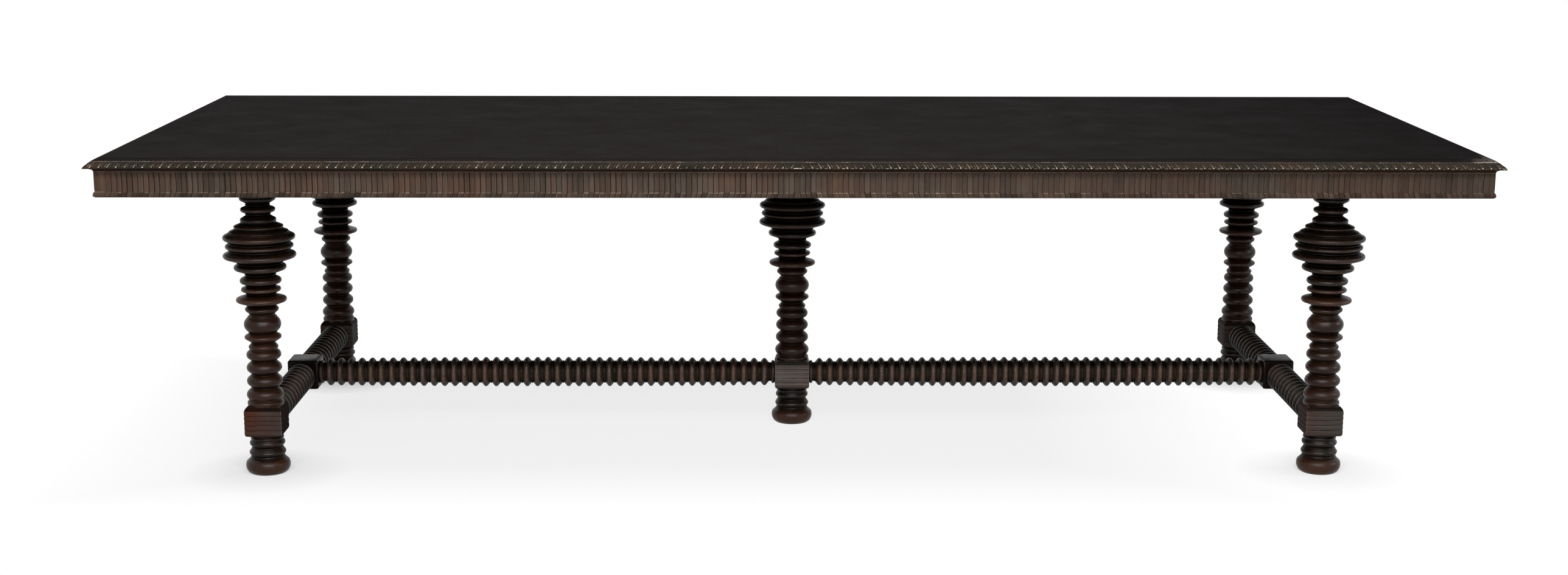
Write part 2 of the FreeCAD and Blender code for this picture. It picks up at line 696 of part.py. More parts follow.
def glue_blocks():
    """Rubbed blocks behind the frieze, rows along each side and a taller one in each corner."""
    for side, (_, _, turn, run, _) in SIDES.items():
        shares = LONG_BLOCK_SHARES if run == "table_length" else SHORT_BLOCK_SHARES
        lengths = ("glue_block_length", "glue_block_size", "glue_block_size")
        blocks = []
        for share in shares:
            middle = f"{run} / 2 + ({share}) * ({run} / 2 - frieze_back_inset)"
            x, y = side_spot(side, f"{middle} - glue_block_length / 2", "frieze_back_inset")
            spot = (x, y, f"{UNDERSIDE} - glue_block_size")
            blocks.append(bar(f"{side}_glue_block", lengths, spot, turn))
        group(f"{side}_glue_blocks", blocks)
    corners = []
    lengths = ("corner_block_size", "corner_block_size", "corner_block_length")
    for side, (_, _, turn, _, _) in SIDES.items():
        x, y = side_spot(side, "frieze_back_inset", "frieze_back_inset")
        corners.append(bar("corner_block", lengths, (x, y, f"{UNDERSIDE} - corner_block_length"), turn))
    group("frieze_corner_blocks", corners)


def leg_forms():
    """A leg's turned outline from the floor to the bearer, as one core through both blocks."""
    core = value("block_width") * CORE_SHARE
    foot = value(BLOCK_FOOT)
    head = value(BLOCK_HEAD)
    top = value(STEM_HEAD)
    stem = scaled(STEM_SHARES, head, top - head, value("disc_radius"))
    corners = [(foot, core, 0, 0), (head, core, 0, 0)]
    ends = [(top, core, 0, 0), (value(BEARER_UNDERSIDE), core, 0, 0)]
    return scaled(FOOT_SHARES, 0, foot, value("foot_radius")) + corners + stem + ends


def legs():
    """Turned legs with two square blocks each, mortised for the stretchers."""
    tenon = "tenon_radius + joint_clearance"
    peg = "peg_radius + joint_clearance"
    peg_reach = "(block_width / 2 + tenon_radius + peg_past_tenon + joint_clearance)"
    forms = leg_forms()
    for name, (across, depth) in LEGS.items():
        spot = (f"({across}) * {LEG_X}", f"({depth}) * {LEG_Y}", "0")
        body = new_body(name, spot)
        turned(body, "XZ_Plane", f"{name}_turning", forms, standing=True)
        corner = "-1 * block_width / 2"
        add_box(body, f"{name}_stretcher_block", ("block_width", "block_width", "block_height"),
                (corner, corner, BLOCK_FOOT))
        add_box(body, f"{name}_top_block", ("block_width", "block_width", "top_block_height"),
                (corner, corner, STEM_HEAD))
        past_bearer = "washer_thickness - bearer_thickness + bolt_recess_depth"
        bore(body, f"{name}_bolt_hole", "leg_bolt_radius + joint_clearance",
             f"(leg_bolt_length + {past_bearer} + joint_clearance)",
             ("0", "0", BEARER_UNDERSIDE), (0, 0, -1))
        for turn in (-1, 1):
            bore(body, f"{name}_dowel_hole", "leg_dowel_radius + joint_clearance",
                 "(leg_dowel_leg_reach + joint_clearance)",
                 (f"({turn}) * leg_dowel_offset", "0", BEARER_UNDERSIDE), (0, 0, -1))
        if depth:
            bore(body, f"{name}_mortise", tenon, "(end_tenon_length + joint_clearance)",
                 ("0", f"({-depth}) * block_width / 2", "stretcher_height"), (0, depth, 0))
            bore(body, f"{name}_peg_hole", peg, peg_reach,
                 (f"({across}) * block_width / 2",
                  f"({-depth}) * (block_width / 2 - end_tenon_length / 2)", "stretcher_height"),
                 (-across, 0, 0))
            continue
        for turn in (-1, 1):
            bore(body, f"{name}_mortise", tenon, "(long_tenon_length + joint_clearance)",
                 (f"({turn}) * block_width / 2", "0", "stretcher_height"), (-turn, 0, 0))
            bore(body, f"{name}_peg_hole", peg, peg_reach,
                 (f"({turn}) * (block_width / 2 - long_tenon_length / 2)", "block_width / 2",
                  "stretcher_height"), (0, -1, 0))


def leg_fastenings():
    """Bolts with washers down through the bearers into the legs, and two dowels beside each."""
    floor = f"({UNDERSIDE} - bolt_recess_depth)"
    seat = f"({floor} + washer_thickness)"
    bolts, washers, dowels = [], [], []
    for across, depth in LEGS.values():
        x = f"({across}) * {LEG_X}"
        y = f"({depth}) * {LEG_Y}"
        head = doc.addObject("Part::Prism", "bolt_head")
        bind(head, {"Circumradius": "bolt_head_radius", "Height": "bolt_head_height"})
        place(head, x, y, seat)
        shank = rod("bolt_shank", "leg_bolt_radius", "leg_bolt_length",
                    (x, y, f"{seat} - leg_bolt_length"), Z_AXIS)
        bolts.append(joined("bolt", [head, shank]))
        washer = doc.addObject("Part::Cut", "washer")
        washer.Base = rod("washer_disc", "washer_radius", "washer_thickness", (x, y, floor), Z_AXIS)
        washer.Tool = rod("washer_hole", "leg_bolt_radius + joint_clearance",
                          "washer_thickness + 2 * cut_overrun", (x, y, f"{floor} - cut_overrun"), Z_AXIS)
        washers.append(washer)
        for turn in (-1, 1):
            start = (f"{x} + ({turn}) * leg_dowel_offset", y, f"{BEARER_UNDERSIDE} - leg_dowel_leg_reach")
            length = "leg_dowel_leg_reach + leg_dowel_bearer_reach"
            dowels.append(rod("leg_dowel", "leg_dowel_radius", length, start, Z_AXIS))
    group("leg_bolts", bolts)
    group("leg_bolt_washers", washers)
    group("leg_dowels", dowels)


def ring_forms(start, length, spacing, swell, tenons):
    """Turned forms of a run between two blocks: a tenon, a collar, rings spaced as evenly as
    fits, and the same again. tenons are the lengths of the two tenons."""
    collar = value("collar_width")
    neck = value("neck_width")
    collar_radius = value("collar_radius")
    neck_radius = value("neck_radius")
    crest = value("ring_radius")
    groove = value("groove_depth")
    run = length - 2 * (collar + neck)
    rings = round(run / spacing)
    pitch = run / rings

    def stub(face, way, tenon):
        """Tenon, collar and neck from a block's face; way is 1 or -1 along the stretcher."""
        rise = collar_radius * COLLAR_RISE_SHARE
        bead = (face + way * (collar + neck * NECK_BEAD_SHARE), neck_radius,
                neck * NECK_REACH_SHARE, neck_radius * NECK_RISE_SHARE)
        return [
            (face - way * tenon, value("tenon_radius"), 0, 0),
            (face, value("tenon_radius"), 0, 0),
            (face + way * collar / 2, collar_radius, collar * COLLAR_REACH_SHARE, rise),
            bead,
        ]

    forms = stub(start, 1, tenons[0])
    for ring in range(rings):
        middle = start + collar + neck + (ring + 0.5) * pitch
        bulge = swell * (1 - (2 * (ring + 0.5) / rings - 1) ** 2)
        shares = RING_SHARES if ring < rings - 1 else RING_SHARES[:-1]
        forms += [(middle + spot * pitch, crest + bulge - deep * groove, reach * pitch, rise * groove)
                  for spot, deep, reach, rise in shares]
    return forms + stub(start + length, -1, tenons[1])[::-1]


def long_stretchers():
    """Ring-turned bars from the centre leg out to the end stretchers' blocks."""
    start = value("block_width / 2")
    length = value(f"{LEG_X} - mid_block_width / 2") - start
    tenon = value("long_tenon_length")
    forms = ring_forms(start, length, value("long_ring_pitch"), value("ring_swell"), (tenon, tenon))
    hole = "peg_radius + joint_clearance"
    for hand, side in ((-1, "left"), (1, "right")):
        name = f"{side}_long_stretcher"
        body = new_body(name, ("0", "0", "stretcher_height"), 0 if hand > 0 else FULL_TURN / 2)
        turned(body, "XZ_Plane", f"{name}_turning", forms)
        past = "(tenon_radius + cut_overrun)"
        inner = "block_width / 2 - long_tenon_length / 2"
        outer = f"{LEG_X} - mid_block_width / 2 + long_tenon_length / 2"
        bore(body, f"{name}_inner_hole", hole, f"2 * {past}", (inner, f"-1 * {past}", "0"), Y_AXIS)
        bore(body, f"{name}_outer_hole", hole, f"2 * {past}", (outer, "0", f"-1 * {past}"), Z_AXIS)


def end_stretchers():
    """Ring-turned bars between front and back legs, with a plain block at mid length that takes
    the long stretcher."""
    start = value("mid_block_length / 2")
    length = value(f"{LEG_Y} - block_width / 2") - start
    tenons = (start, value("end_tenon_length"))
    half = ring_forms(start, length, value("end_ring_pitch"), 0, tenons)
    forms = [(-along, radius, reach, rise) for along, radius, reach, rise in half[:0:-1]] + half[1:]
    hole = "peg_radius + joint_clearance"
    past = "(tenon_radius + cut_overrun)"
    for hand, side in ((-1, "left"), (1, "right")):
        name = f"{side}_end_stretcher"
        body = new_body(name, (f"({hand}) * {LEG_X}", "0", "stretcher_height"))
        turned(body, "YZ_Plane", f"{name}_turning", forms)
        add_box(body, f"{name}_block", ("mid_block_width", "mid_block_length", "mid_block_height"),
                ("-1 * mid_block_width / 2", "-1 * mid_block_length / 2", "-1 * mid_block_height / 2"))
        for turn in (-1, 1):
            y = f"({turn}) * ({LEG_Y} - block_width / 2 + end_tenon_length / 2)"
            bore(body, f"{name}_peg_hole", hole, f"2 * {past}", (f"-1 * {past}", y, "0"), X_AXIS)
        bore(body, f"{name}_mortise", "tenon_radius + joint_clearance",
             "(long_tenon_length + joint_clearance)",
             (f"({-hand}) * mid_block_width / 2", "0", "0"), (hand, 0, 0))
        bore(body, f"{name}_cross_peg_hole", hole,
             "(mid_block_height / 2 + tenon_radius + peg_past_tenon + joint_clearance)",
             (f"({-hand}) * (mid_block_width / 2 - long_tenon_length / 2)", "0",
              "-1 * mid_block_height / 2"), Z_AXIS)


def pegs():
    """Pegs through every tenon of the stretchers, flush with the faces they are driven from."""
    length = "block_width / 2 + tenon_radius + peg_past_tenon"
    group("end_stretcher_pegs", [
        rod("end_stretcher_peg", "peg_radius", length,
            (f"({across}) * ({LEG_X} + block_width / 2)",
             f"({depth}) * ({LEG_Y} - block_width / 2 + end_tenon_length / 2)",
             "stretcher_height"), (-across, 0, 0))
        for across, depth in LEGS.values() if depth
    ])
    group("long_stretcher_pegs", [
        rod("long_stretcher_peg", "peg_radius", length,
            (f"({turn}) * (block_width / 2 - long_tenon_length / 2)", "block_width / 2",
             "stretcher_height"), (0, -1, 0))
        for turn in (-1, 1)
    ])
    group("mid_block_pegs", [
        rod("mid_block_peg", "peg_radius", "mid_block_height / 2 + tenon_radius + peg_past_tenon",
            (f"({turn}) * ({LEG_X} - mid_block_width / 2 + long_tenon_length / 2)", "0",
             "stretcher_height - mid_block_height / 2"), Z_AXIS)
        for turn in (-1, 1)
    ])


def check():
    """Stops if an object failed, a cut removed nothing or a sub-part isn't sound."""
    for thing in doc.Objects:
        if "Invalid" in thing.State or "Error" in thing.State:
            raise RuntimeError(f"{thing.Label} failed: {thing.State}")
        if thing.isDerivedFrom("PartDesign::Feature") and thing.BaseFeature:
            cuts = thing.TypeId.startswith("PartDesign::Subtractive") or thing.TypeId == "PartDesign::Pocket"
            if cuts and not thing.Shape.Volume < thing.BaseFeature.Shape.Volume:
                raise RuntimeError(f"{thing.Label} cuts nothing")
    for node in nodes:
        if node.Shape.isNull() or not node.Shape.isValid():
            raise RuntimeError(f"{node.Label} has no sound shape")
        single = node.TypeId != "Part::Compound"
        if single and len(node.Shape.Solids) != 1:
            raise RuntimeError(f"{node.Label} is not one solid")


def write():
    """One STEP file for each sub-part."""
    os.makedirs("parts", exist_ok=True)
    for node in nodes:
        node.Shape.exportStep(os.path.join("parts", f"{node.Label}.step"))


for build in (
    top_panels, seam_dowels, edge_mouldings, edge_tongues, friezes, bead_strips, glue_blocks,
    bearers, rails, frame_dowels, top_screws, legs, leg_fastenings, long_stretchers,
    end_stretchers, pegs,
):
    build()
doc.recompute()
check()
write()
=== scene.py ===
import math

import bmesh
import bpy
import numpy as np
from mathutils import Matrix, Vector

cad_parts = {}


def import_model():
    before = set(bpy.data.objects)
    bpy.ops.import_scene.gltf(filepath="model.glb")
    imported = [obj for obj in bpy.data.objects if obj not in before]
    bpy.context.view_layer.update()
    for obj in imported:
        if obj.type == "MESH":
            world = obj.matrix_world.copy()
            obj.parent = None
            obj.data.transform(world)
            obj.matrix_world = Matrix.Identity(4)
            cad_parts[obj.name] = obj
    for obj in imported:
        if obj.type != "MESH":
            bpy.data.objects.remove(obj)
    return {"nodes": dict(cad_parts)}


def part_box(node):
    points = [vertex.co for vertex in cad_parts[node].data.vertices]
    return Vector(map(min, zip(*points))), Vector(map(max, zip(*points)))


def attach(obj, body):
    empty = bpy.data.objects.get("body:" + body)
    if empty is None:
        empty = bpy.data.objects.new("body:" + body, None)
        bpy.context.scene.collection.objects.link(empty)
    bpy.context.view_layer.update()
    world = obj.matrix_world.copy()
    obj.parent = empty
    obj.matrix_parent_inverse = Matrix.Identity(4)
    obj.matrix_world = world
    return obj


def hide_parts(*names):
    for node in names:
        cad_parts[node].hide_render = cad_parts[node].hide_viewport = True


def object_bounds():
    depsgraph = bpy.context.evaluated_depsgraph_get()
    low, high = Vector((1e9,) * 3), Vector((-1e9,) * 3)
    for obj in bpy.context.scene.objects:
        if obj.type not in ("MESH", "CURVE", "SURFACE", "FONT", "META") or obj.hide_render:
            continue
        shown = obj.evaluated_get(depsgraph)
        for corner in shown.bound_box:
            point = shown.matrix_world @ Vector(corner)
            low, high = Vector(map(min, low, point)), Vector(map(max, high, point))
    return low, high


# A long banquet table in very dark wood. Everything is in metres on the frame's own axes: X along
# the table, Y across it with the front at minus Y, Z up, and the origin on the floor.

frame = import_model()
CAD_LOW, CAD_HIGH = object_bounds()

MM = 0.001
# How far the top's ends lie outside the solids', and the frieze's ends outside those again
END_GROWTH = 4 * MM
FRIEZE_END_REACH = 4.2 * MM
LENGTH = CAD_HIGH.x - CAD_LOW.x + 2 * END_GROWTH
WIDTH = CAD_HIGH.y - CAD_LOW.y
HEIGHT = CAD_HIGH.z

# Heights and places that the frame gives
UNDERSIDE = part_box("top_panel_left")[0].z
SEAM_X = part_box("top_panel_left")[1].x
PANEL_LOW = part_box("top_panel_left")[0] - Vector((END_GROWTH, 0, 0))
PANEL_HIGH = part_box("top_panel_right")[1] + Vector((END_GROWTH, 0, 0))
FRIEZE_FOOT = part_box("front_frieze_board")[0].z
LEG_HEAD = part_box("centre_leg")[1].z
STRETCHER_Z = sum(end.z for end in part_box("left_long_stretcher")) / 2
LEG_X = sum(end.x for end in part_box("right_end_stretcher")) / 2
LEG_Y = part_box("back_left_leg")[1].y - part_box("centre_leg")[1].y


def sides(length, width):
    """The four sides of a rectangle: the corner where each starts, its way along and its length.
    Inward is to the left of that way."""
    return {
        "front": ((-length / 2, -width / 2), (1, 0), length),
        "right": ((length / 2, -width / 2), (0, 1), width),
        "back": ((length / 2, width / 2), (-1, 0), length),
        "left": ((-length / 2, width / 2), (0, -1), width),
    }


LIP_SIDES = sides(LENGTH, WIDTH)
FRIEZE_SIDES = sides(LENGTH + 2 * FRIEZE_END_REACH, WIDTH)

# The legs: signs of their offsets, how far the stretcher block turns to rosewood red at its left,
# the block's tone and the leg's, which on the centre leg is painted shade under the top
LEGS = {
    "front_left_leg": (-1, -1, 0.75, -1.3, 0.0),
    "front_right_leg": (1, -1, 0.15, -1.0, -0.8),
    "back_left_leg": (-1, 1, 0.4, -0.8, 0.0),
    "back_right_leg": (1, 1, 0.3, -0.8, -0.6),
    "centre_leg": (0, 0, 0.05, 0.9, -1.1),
}

# The lip's section: across is inward from its tip, up is above the top's underside
LIP_WIDTH = 42 * MM
CROWN_INSET = 27 * MM
TIP_HEIGHT = 8.6 * MM
LIP_TOP = HEIGHT - UNDERSIDE
CROWN_RADIUS = 80 * MM
NOSE_DROP = 2.6 * MM
NOSE_INSET = 1.6 * MM
COVE_RADIUS = 25 * MM
LIP_FOOT_INSET = 19.5 * MM
LIP_FOOT_HEIGHT = 0.4 * MM
REBATE_INSET = 27 * MM
REBATE_DEPTH = 2 * MM
# The frieze's and the bead's sections, up above the frieze's foot
FRIEZE_HEIGHT = UNDERSIDE - FRIEZE_FOOT
FRIEZE_TOP_INSET = 23.5 * MM
FRIEZE_FOOT_INSET = 26.5 * MM
FRIEZE_HOLLOW_RADIUS = 128 * MM
FRIEZE_BACK_INSET = 52 * MM
BEAD_HEIGHT = 12 * MM
BEAD_SEAT_INSET = 33 * MM
BEAD_FOOT_INSET = 24.7 * MM
BEAD_RADIUS = 9.5 * MM

# The lip's carving. A tongue and a flute follow each other, each with its place and half width as
# shares of the pitch
FLUTE_PITCH = 19.4 * MM
# Grid columns per tongue and flute
FLUTE_STEPS = 18
TONGUE_SHARES = (0.15, 0.12)
FLUTE_SHARES = (0.68, 0.22)
FLUTE_DEPTH = 2.3 * MM
FLUTE_LEAN = 12 * MM
FLUTE_END = 4.2 * MM
TONGUE_END = 2.6 * MM
END_RISE = 0.2 * MM
# The rises over which the carving comes up from the plain tip
TIP_RISES = (-1.9 * MM, -0.3 * MM)
# Half the plain motif in the middle of a side, its edge's width, and its worn foot
MOTIF_REACH = 11.5 * MM
MOTIF_EDGE = 0.9 * MM
MOTIF_MARGIN = 1.2 * MM
MOTIF_WORN_RISES = (1.4 * MM, 2.6 * MM)
# How far from the corners a side's grid is drawn towards the mitres
MITRE_REACH = 90 * MM
# The carved share of the slope between tip and crown
CARVED_SHARE = 0.63
# A point's climb is 0 at the tip and 1 at the carving's upper rim. Over RIM_CLIMB the lip is
# plain, over CROWN_CLIMB flat, and under COVE_CLIMB it is the cove
RIM_CLIMB, CROWN_CLIMB, COVE_CLIMB = 1.05, 1.9, -0.3
# The slope's tone, the darker tones of the nose and the cove under the tip, which are painted shade, and the
# cove's warmth
SLOPE_TONE, NOSE_SHADE_TONE, COVE_SHADE_TONE, COVE_WARMTH = 0.6, -0.9, -1.8, 0.8
# How far the top's tone falls to its left and to its right end
LEFT_FALL, RIGHT_FALL = 0.6, 1.7
# The front right corner, where the polish has gone
BARE_REACH = (30 * MM, 110 * MM)
BARE_WEAR, BARE_TONE = 0.95, 3.0
PANEL_EASE = 0.35 * MM

# The frieze's grooves and the bead's cuts
STRIP_PITCH = 12.05 * MM
STRIP_LEAN = 0.25 * MM
CUT_DEPTH = 1.7 * MM
CUT_REACH = 1.1 * MM
CUT_WANDER = 0.45 * MM
# Drops under the frieze's head: where its ledge ends, whose light line is wear and painted highlight, where
# grooves start, and a dark line of painted shadow
LEDGE_DROPS = (1.8 * MM, 1.0 * MM)
CUT_DROPS = (3.2 * MM, 1.4 * MM)
SHADOW_LINE_DROP, SHADOW_LINE_WIDTH = 3.2 * MM, 1.3 * MM
BEAD_LEAN = 2.8 * MM
BEAD_PILLOW = 0.36 * MM
BEAD_TOP_DROPS = (3.4 * MM, 1.2 * MM)
BEAD_CUT_FADE = 2 * MM
# The fill that makes the frieze's and bead's ends straight
END_FILL_REACH = 75 * MM
BEAD_END_FILL = 3 * MM
BEAD_FILL_FADE = 4 * MM
# Kinds of places across a strip: a cut's bottom, its edge and the strip between
CUT, EDGE, FLAT = 0.0, 0.8, 1.0
# What the random numbers of each cut, and of the strip before it, are for
TRAITS = ("waves", "phase", "shift", "sweep", "depth", "lean", "tone", "slant", "bead_tone", "chips")

# Turned work
DISC_RADIUS = 83 * MM
FOOT_RADIUS = 51.2 * MM
BLOCK_WIDTH = 87 * MM
BLOCK_HEIGHT = 70 * MM
TOP_BLOCK_HEIGHT = 49 * MM
MID_BLOCK = (76 * MM, 80 * MM, 74 * MM)
LEG_CORNER = 2.6 * MM
MID_CORNER = 4 * MM
# The outer part of a reeded block that has its own wood
REEDED_MARGIN = 9 * MM
# How far turned parts reach into their blocks
SINK = 1 * MM
RING_RADIUS = 34.8 * MM
RING_SWELL = 2.6 * MM
GROOVE_DEPTH = 9.8 * MM
COLLAR_WIDTH = 9 * MM
COLLAR_RADIUS = 29.5 * MM
NECK_WIDTH = 4.3 * MM
NECK_RADIUS = 24.4 * MM
LONG_RINGS = 43
END_RINGS = 12
REEDS = 5
REED_DEPTH = 1.6 * MM
# The hand-cut reeds' sway up and down, and its waves per metre
REED_WANDER = 0.5 * MM
REED_WAVES = 70
LEG_SEGMENTS = 96
BAR_SEGMENTS = 56
# Samples along a turned form for its worn crests and darker hollows, and the window and depth they are
# measured by
HEIGHT_SAMPLES = 4000
LEG_RELIEF = (9 * MM, 7 * MM)
LONG_RELIEF = (13 * MM, 5 * MM)
END_RELIEF = (15 * MM, 3.5 * MM)
# Lower and upper shoulders of the blocks, each as height and inset
BLOCK_SHOULDERS = ((4.5 * MM, 5 * MM), (9 * MM, 7.5 * MM))
PLAIN_SHOULDERS = ((2.5 * MM, 2.5 * MM), (1 * MM, 1 * MM))
MID_SHOULDERS = ((4 * MM, 4 * MM), (4 * MM, 4 * MM))
# The share of the foot's height that its bun takes, and the bun's tone over the leg's
FOOT_BUN_SHARE = 0.38
BUN_TONE = 1.9
# The warmth of the bun and of the stem, and what the stem loses of it over its upper heights, a painted shade
# that leaves the discs under the frieze darker and cooler
LOW_WARMTH = 0.35
DISC_SHADE_COOLING = 0.6
DISC_SHADE_HEIGHTS = (0.38, 0.5)
# Tone of the end stretchers' plain blocks, and of the bars as painted shade away from their lit band and as
# painted highlight in it
MID_BLOCK_TONE = -1.5
BAR_SHADE_AND_HIGHLIGHT_TONES = (-1.4, 1.7)

# Turned forms: place along the stretch, radius, reach each way and rise. Place and reach are
# shares of the stretch's length, radius and rise shares of its widest radius. A rise makes a
# ring, a negative one a hollow, and a form without reach is a corner.
FOOT_SHARES = (
    (0.000, 0.800, 0, 0),
    (0.043, 0.908, 0, 0),
    (0.197, 1.000, 0.097, 0.037),
    (0.389, 0.773, 0.006, -0.010),
    (0.417, 0.771, 0.014, 0.016),
    (0.452, 0.734, 0.009, -0.012),
    (0.527, 0.822, 0.060, 0.062),
    (0.665, 0.689, 0.017, -0.020),
    (0.767, 0.797, 0.060, 0.060),
    (0.854, 0.715, 0.010, -0.014),
    (0.905, 0.750, 0.020, 0.020),
    (0.959, 0.684, 0.013, -0.016),
)


def fine_bead_shares(place, radius):
    """A thin bead between two narrow grooves, in the bottom of a hollow of the stem."""
    beside, deeper, reach, rise = 0.0053, 0.030, 0.0026, 0.010
    return (
        (place - beside, radius - deeper, 0, 0),
        (place, radius, reach, rise),
        (place + beside, radius - deeper, 0, 0),
    )


STEM_SHARES = (
    # Collar on the block and four plump rings
    (0.009, 0.501, 0.0073, 0.008),
    (0.023, 0.451, 0.0028, -0.011),
    (0.049, 0.512, 0.0190, 0.050),
    (0.084, 0.373, 0.0053, -0.024),
    (0.115, 0.493, 0.0210, 0.068),
    (0.148, 0.359, 0.0053, -0.024),
    (0.179, 0.486, 0.0210, 0.068),
    (0.212, 0.352, 0.0049, -0.022),
    (0.241, 0.478, 0.0185, 0.058),
    # Small ring, saucer, and the bulb with its step
    (0.265, 0.377, 0.0024, -0.010),
    (0.279, 0.408, 0.0061, 0.014),
    (0.298, 0.328, 0.0037, -0.014),
    (0.326, 0.507, 0.0090, 0.034),
    (0.346, 0.373, 0.0024, -0.010),
    (0.387, 0.510, 0.0260, 0.060),
    (0.417, 0.417, 0.0012, -0.006),
    (0.423, 0.402, 0.0026, 0.008),
    (0.434, 0.354, 0.0045, -0.010),
    (0.459, 0.463, 0.0095, 0.034),
    (0.477, 0.393, 0.0024, -0.010),
    # Plate, and three rings that widen towards the discs
    (0.505, 0.696, 0.0100, 0.042),
    *fine_bead_shares(0.534, 0.419),
    (0.554, 0.547, 0.0085, 0.036),
    *fine_bead_shares(0.572, 0.422),
    (0.596, 0.571, 0.0120, 0.040),
    *fine_bead_shares(0.625, 0.429),
    (0.659, 0.720, 0.0115, 0.045),
    *fine_bead_shares(0.680, 0.634),
    # Three wide discs, the upper one with a step on its upper face
    (0.716, 1.000, 0.0110, 0.050),
    *fine_bead_shares(0.742, 0.852),
    (0.760, 0.931, 0.0080, 0.032),
    *fine_bead_shares(0.777, 0.858),
    (0.802, 0.990, 0.0115, 0.050),
    (0.822, 0.839, 0.0012, -0.006),
    (0.828, 0.812, 0.0028, 0.011),
    (0.843, 0.648, 0.0018, -0.008),
    # Shoulder, bell, neck ring and the collar under the top block
    (0.852, 0.677, 0.0049, 0.016),
    (0.870, 0.484, 0.0014, -0.006),
    (0.882, 0.494, 0.0085, 0.012),
    *fine_bead_shares(0.912, 0.352),
    (0.932, 0.477, 0.0100, 0.040),
    *fine_bead_shares(0.955, 0.342),
    (0.985, 0.496, 0.0085, 0.020),
)
RING_SHARES = (
    (-0.40, 1.00, 0, 0),
    (0, 0, 0.21, 0.34),
    (0.40, 1.00, 0, 0),
    (0.50, 0.86, 0.07, 0.14),
)
# Reach and rise of the collars and necks at a bar's ends
COLLAR_FORM = (COLLAR_WIDTH * 0.46, COLLAR_RADIUS * 0.10)
NECK_FORM = (NECK_WIDTH * 0.3, NECK_RADIUS * 0.04)

rng = np.random.default_rng(11)


# Materials

class Shader:
    """The node tree of a material or world, with short ways to add to it."""

    def __init__(self, owner, surface="Principled BSDF"):
        owner.use_nodes = True
        self.tree = owner.node_tree
        self.surface = self.tree.nodes[surface]

    def fill(self, node, inputs):
        """Give a node's inputs their values, or their links where an item is a socket."""
        for key, item in inputs.items():
            if isinstance(item, bpy.types.NodeSocket):
                self.tree.links.new(item, node.inputs[key])
            else:
                node.inputs[key].default_value = item

    def add(self, kind, inputs=None, **settings):
        node = self.tree.nodes.new(kind)
        for key, setting in settings.items():
            setattr(node, key, setting)
        self.fill(node, inputs or {})
        return node

    def noise(self, vector, scale, detail=4.0, roughness=0.55, distortion=0.0):
        """A noise texture's value on a stretched coordinate."""
        stretched = self.add("ShaderNodeMapping", {"Vector": vector, "Scale": scale}).outputs["Vector"]
        node = self.add("ShaderNodeTexNoise", {"Vector": stretched, "Scale": 1.0, "Detail": detail,
                                               "Roughness": roughness, "Distortion": distortion})
        return node.outputs["Fac"]

    def ramp(self, value, stops):
        """A colour ramp; stops are pairs of place and colour."""
        node = self.add("ShaderNodeValToRGB", {"Fac": value})
        elements = node.color_ramp.elements
        while len(elements) < len(stops):
            elements.new(0.5)
        for element, (place, colour) in zip(elements, stops):
            element.position = place
            element.color = (*colour, 1.0)
        return node.outputs["Color"]

    def span(self, value, low, high, to_low=0.0, to_high=1.0):
        """A value's range turned into another, held at its ends."""
        ends = {"From Min": low, "From Max": high, "To Min": to_low, "To Max": to_high}
        return self.add("ShaderNodeMapRange", {"Value": value, **ends}, clamp=True).outputs["Result"]

    def chain(self, kind, value, *others):
        """A value joined with further ones by math nodes, each a socket or a number."""
        for other in others:
            value = self.add("ShaderNodeMath", {0: value, 1: other}, operation=kind).outputs["Value"]
        return value

    def mix(self, factor, first, second):
        """A mix of a colour's socket with a colour."""
        node = self.add("ShaderNodeMix", data_type="RGBA")
        slots = [socket for socket in node.inputs if socket.type == "RGBA"]
        self.tree.links.new(first, slots[0])
        slots[1].default_value = (*second, 1.0)
        self.tree.links.new(factor, next(socket for socket in node.inputs if socket.type == "VALUE"))
        return next(socket for socket in node.outputs if socket.type == "RGBA")

    def directly_seen(self):
        """1 for camera, glossy and transmission rays, else 0."""
        rays = self.add("ShaderNodeLightPath").outputs
        seen = (rays[f"Is {kind} Ray"] for kind in ("Camera", "Glossy", "Transmission"))
        return self.chain("MAXIMUM", *seen)


GRAIN_LONG = 5
GRAIN_CROSS = 130


def grain_scale(axis, finer=1):
    """Noise scale stretched along one axis."""
    return tuple(finer * (GRAIN_LONG if at == axis else GRAIN_CROSS) for at in "XYZ")


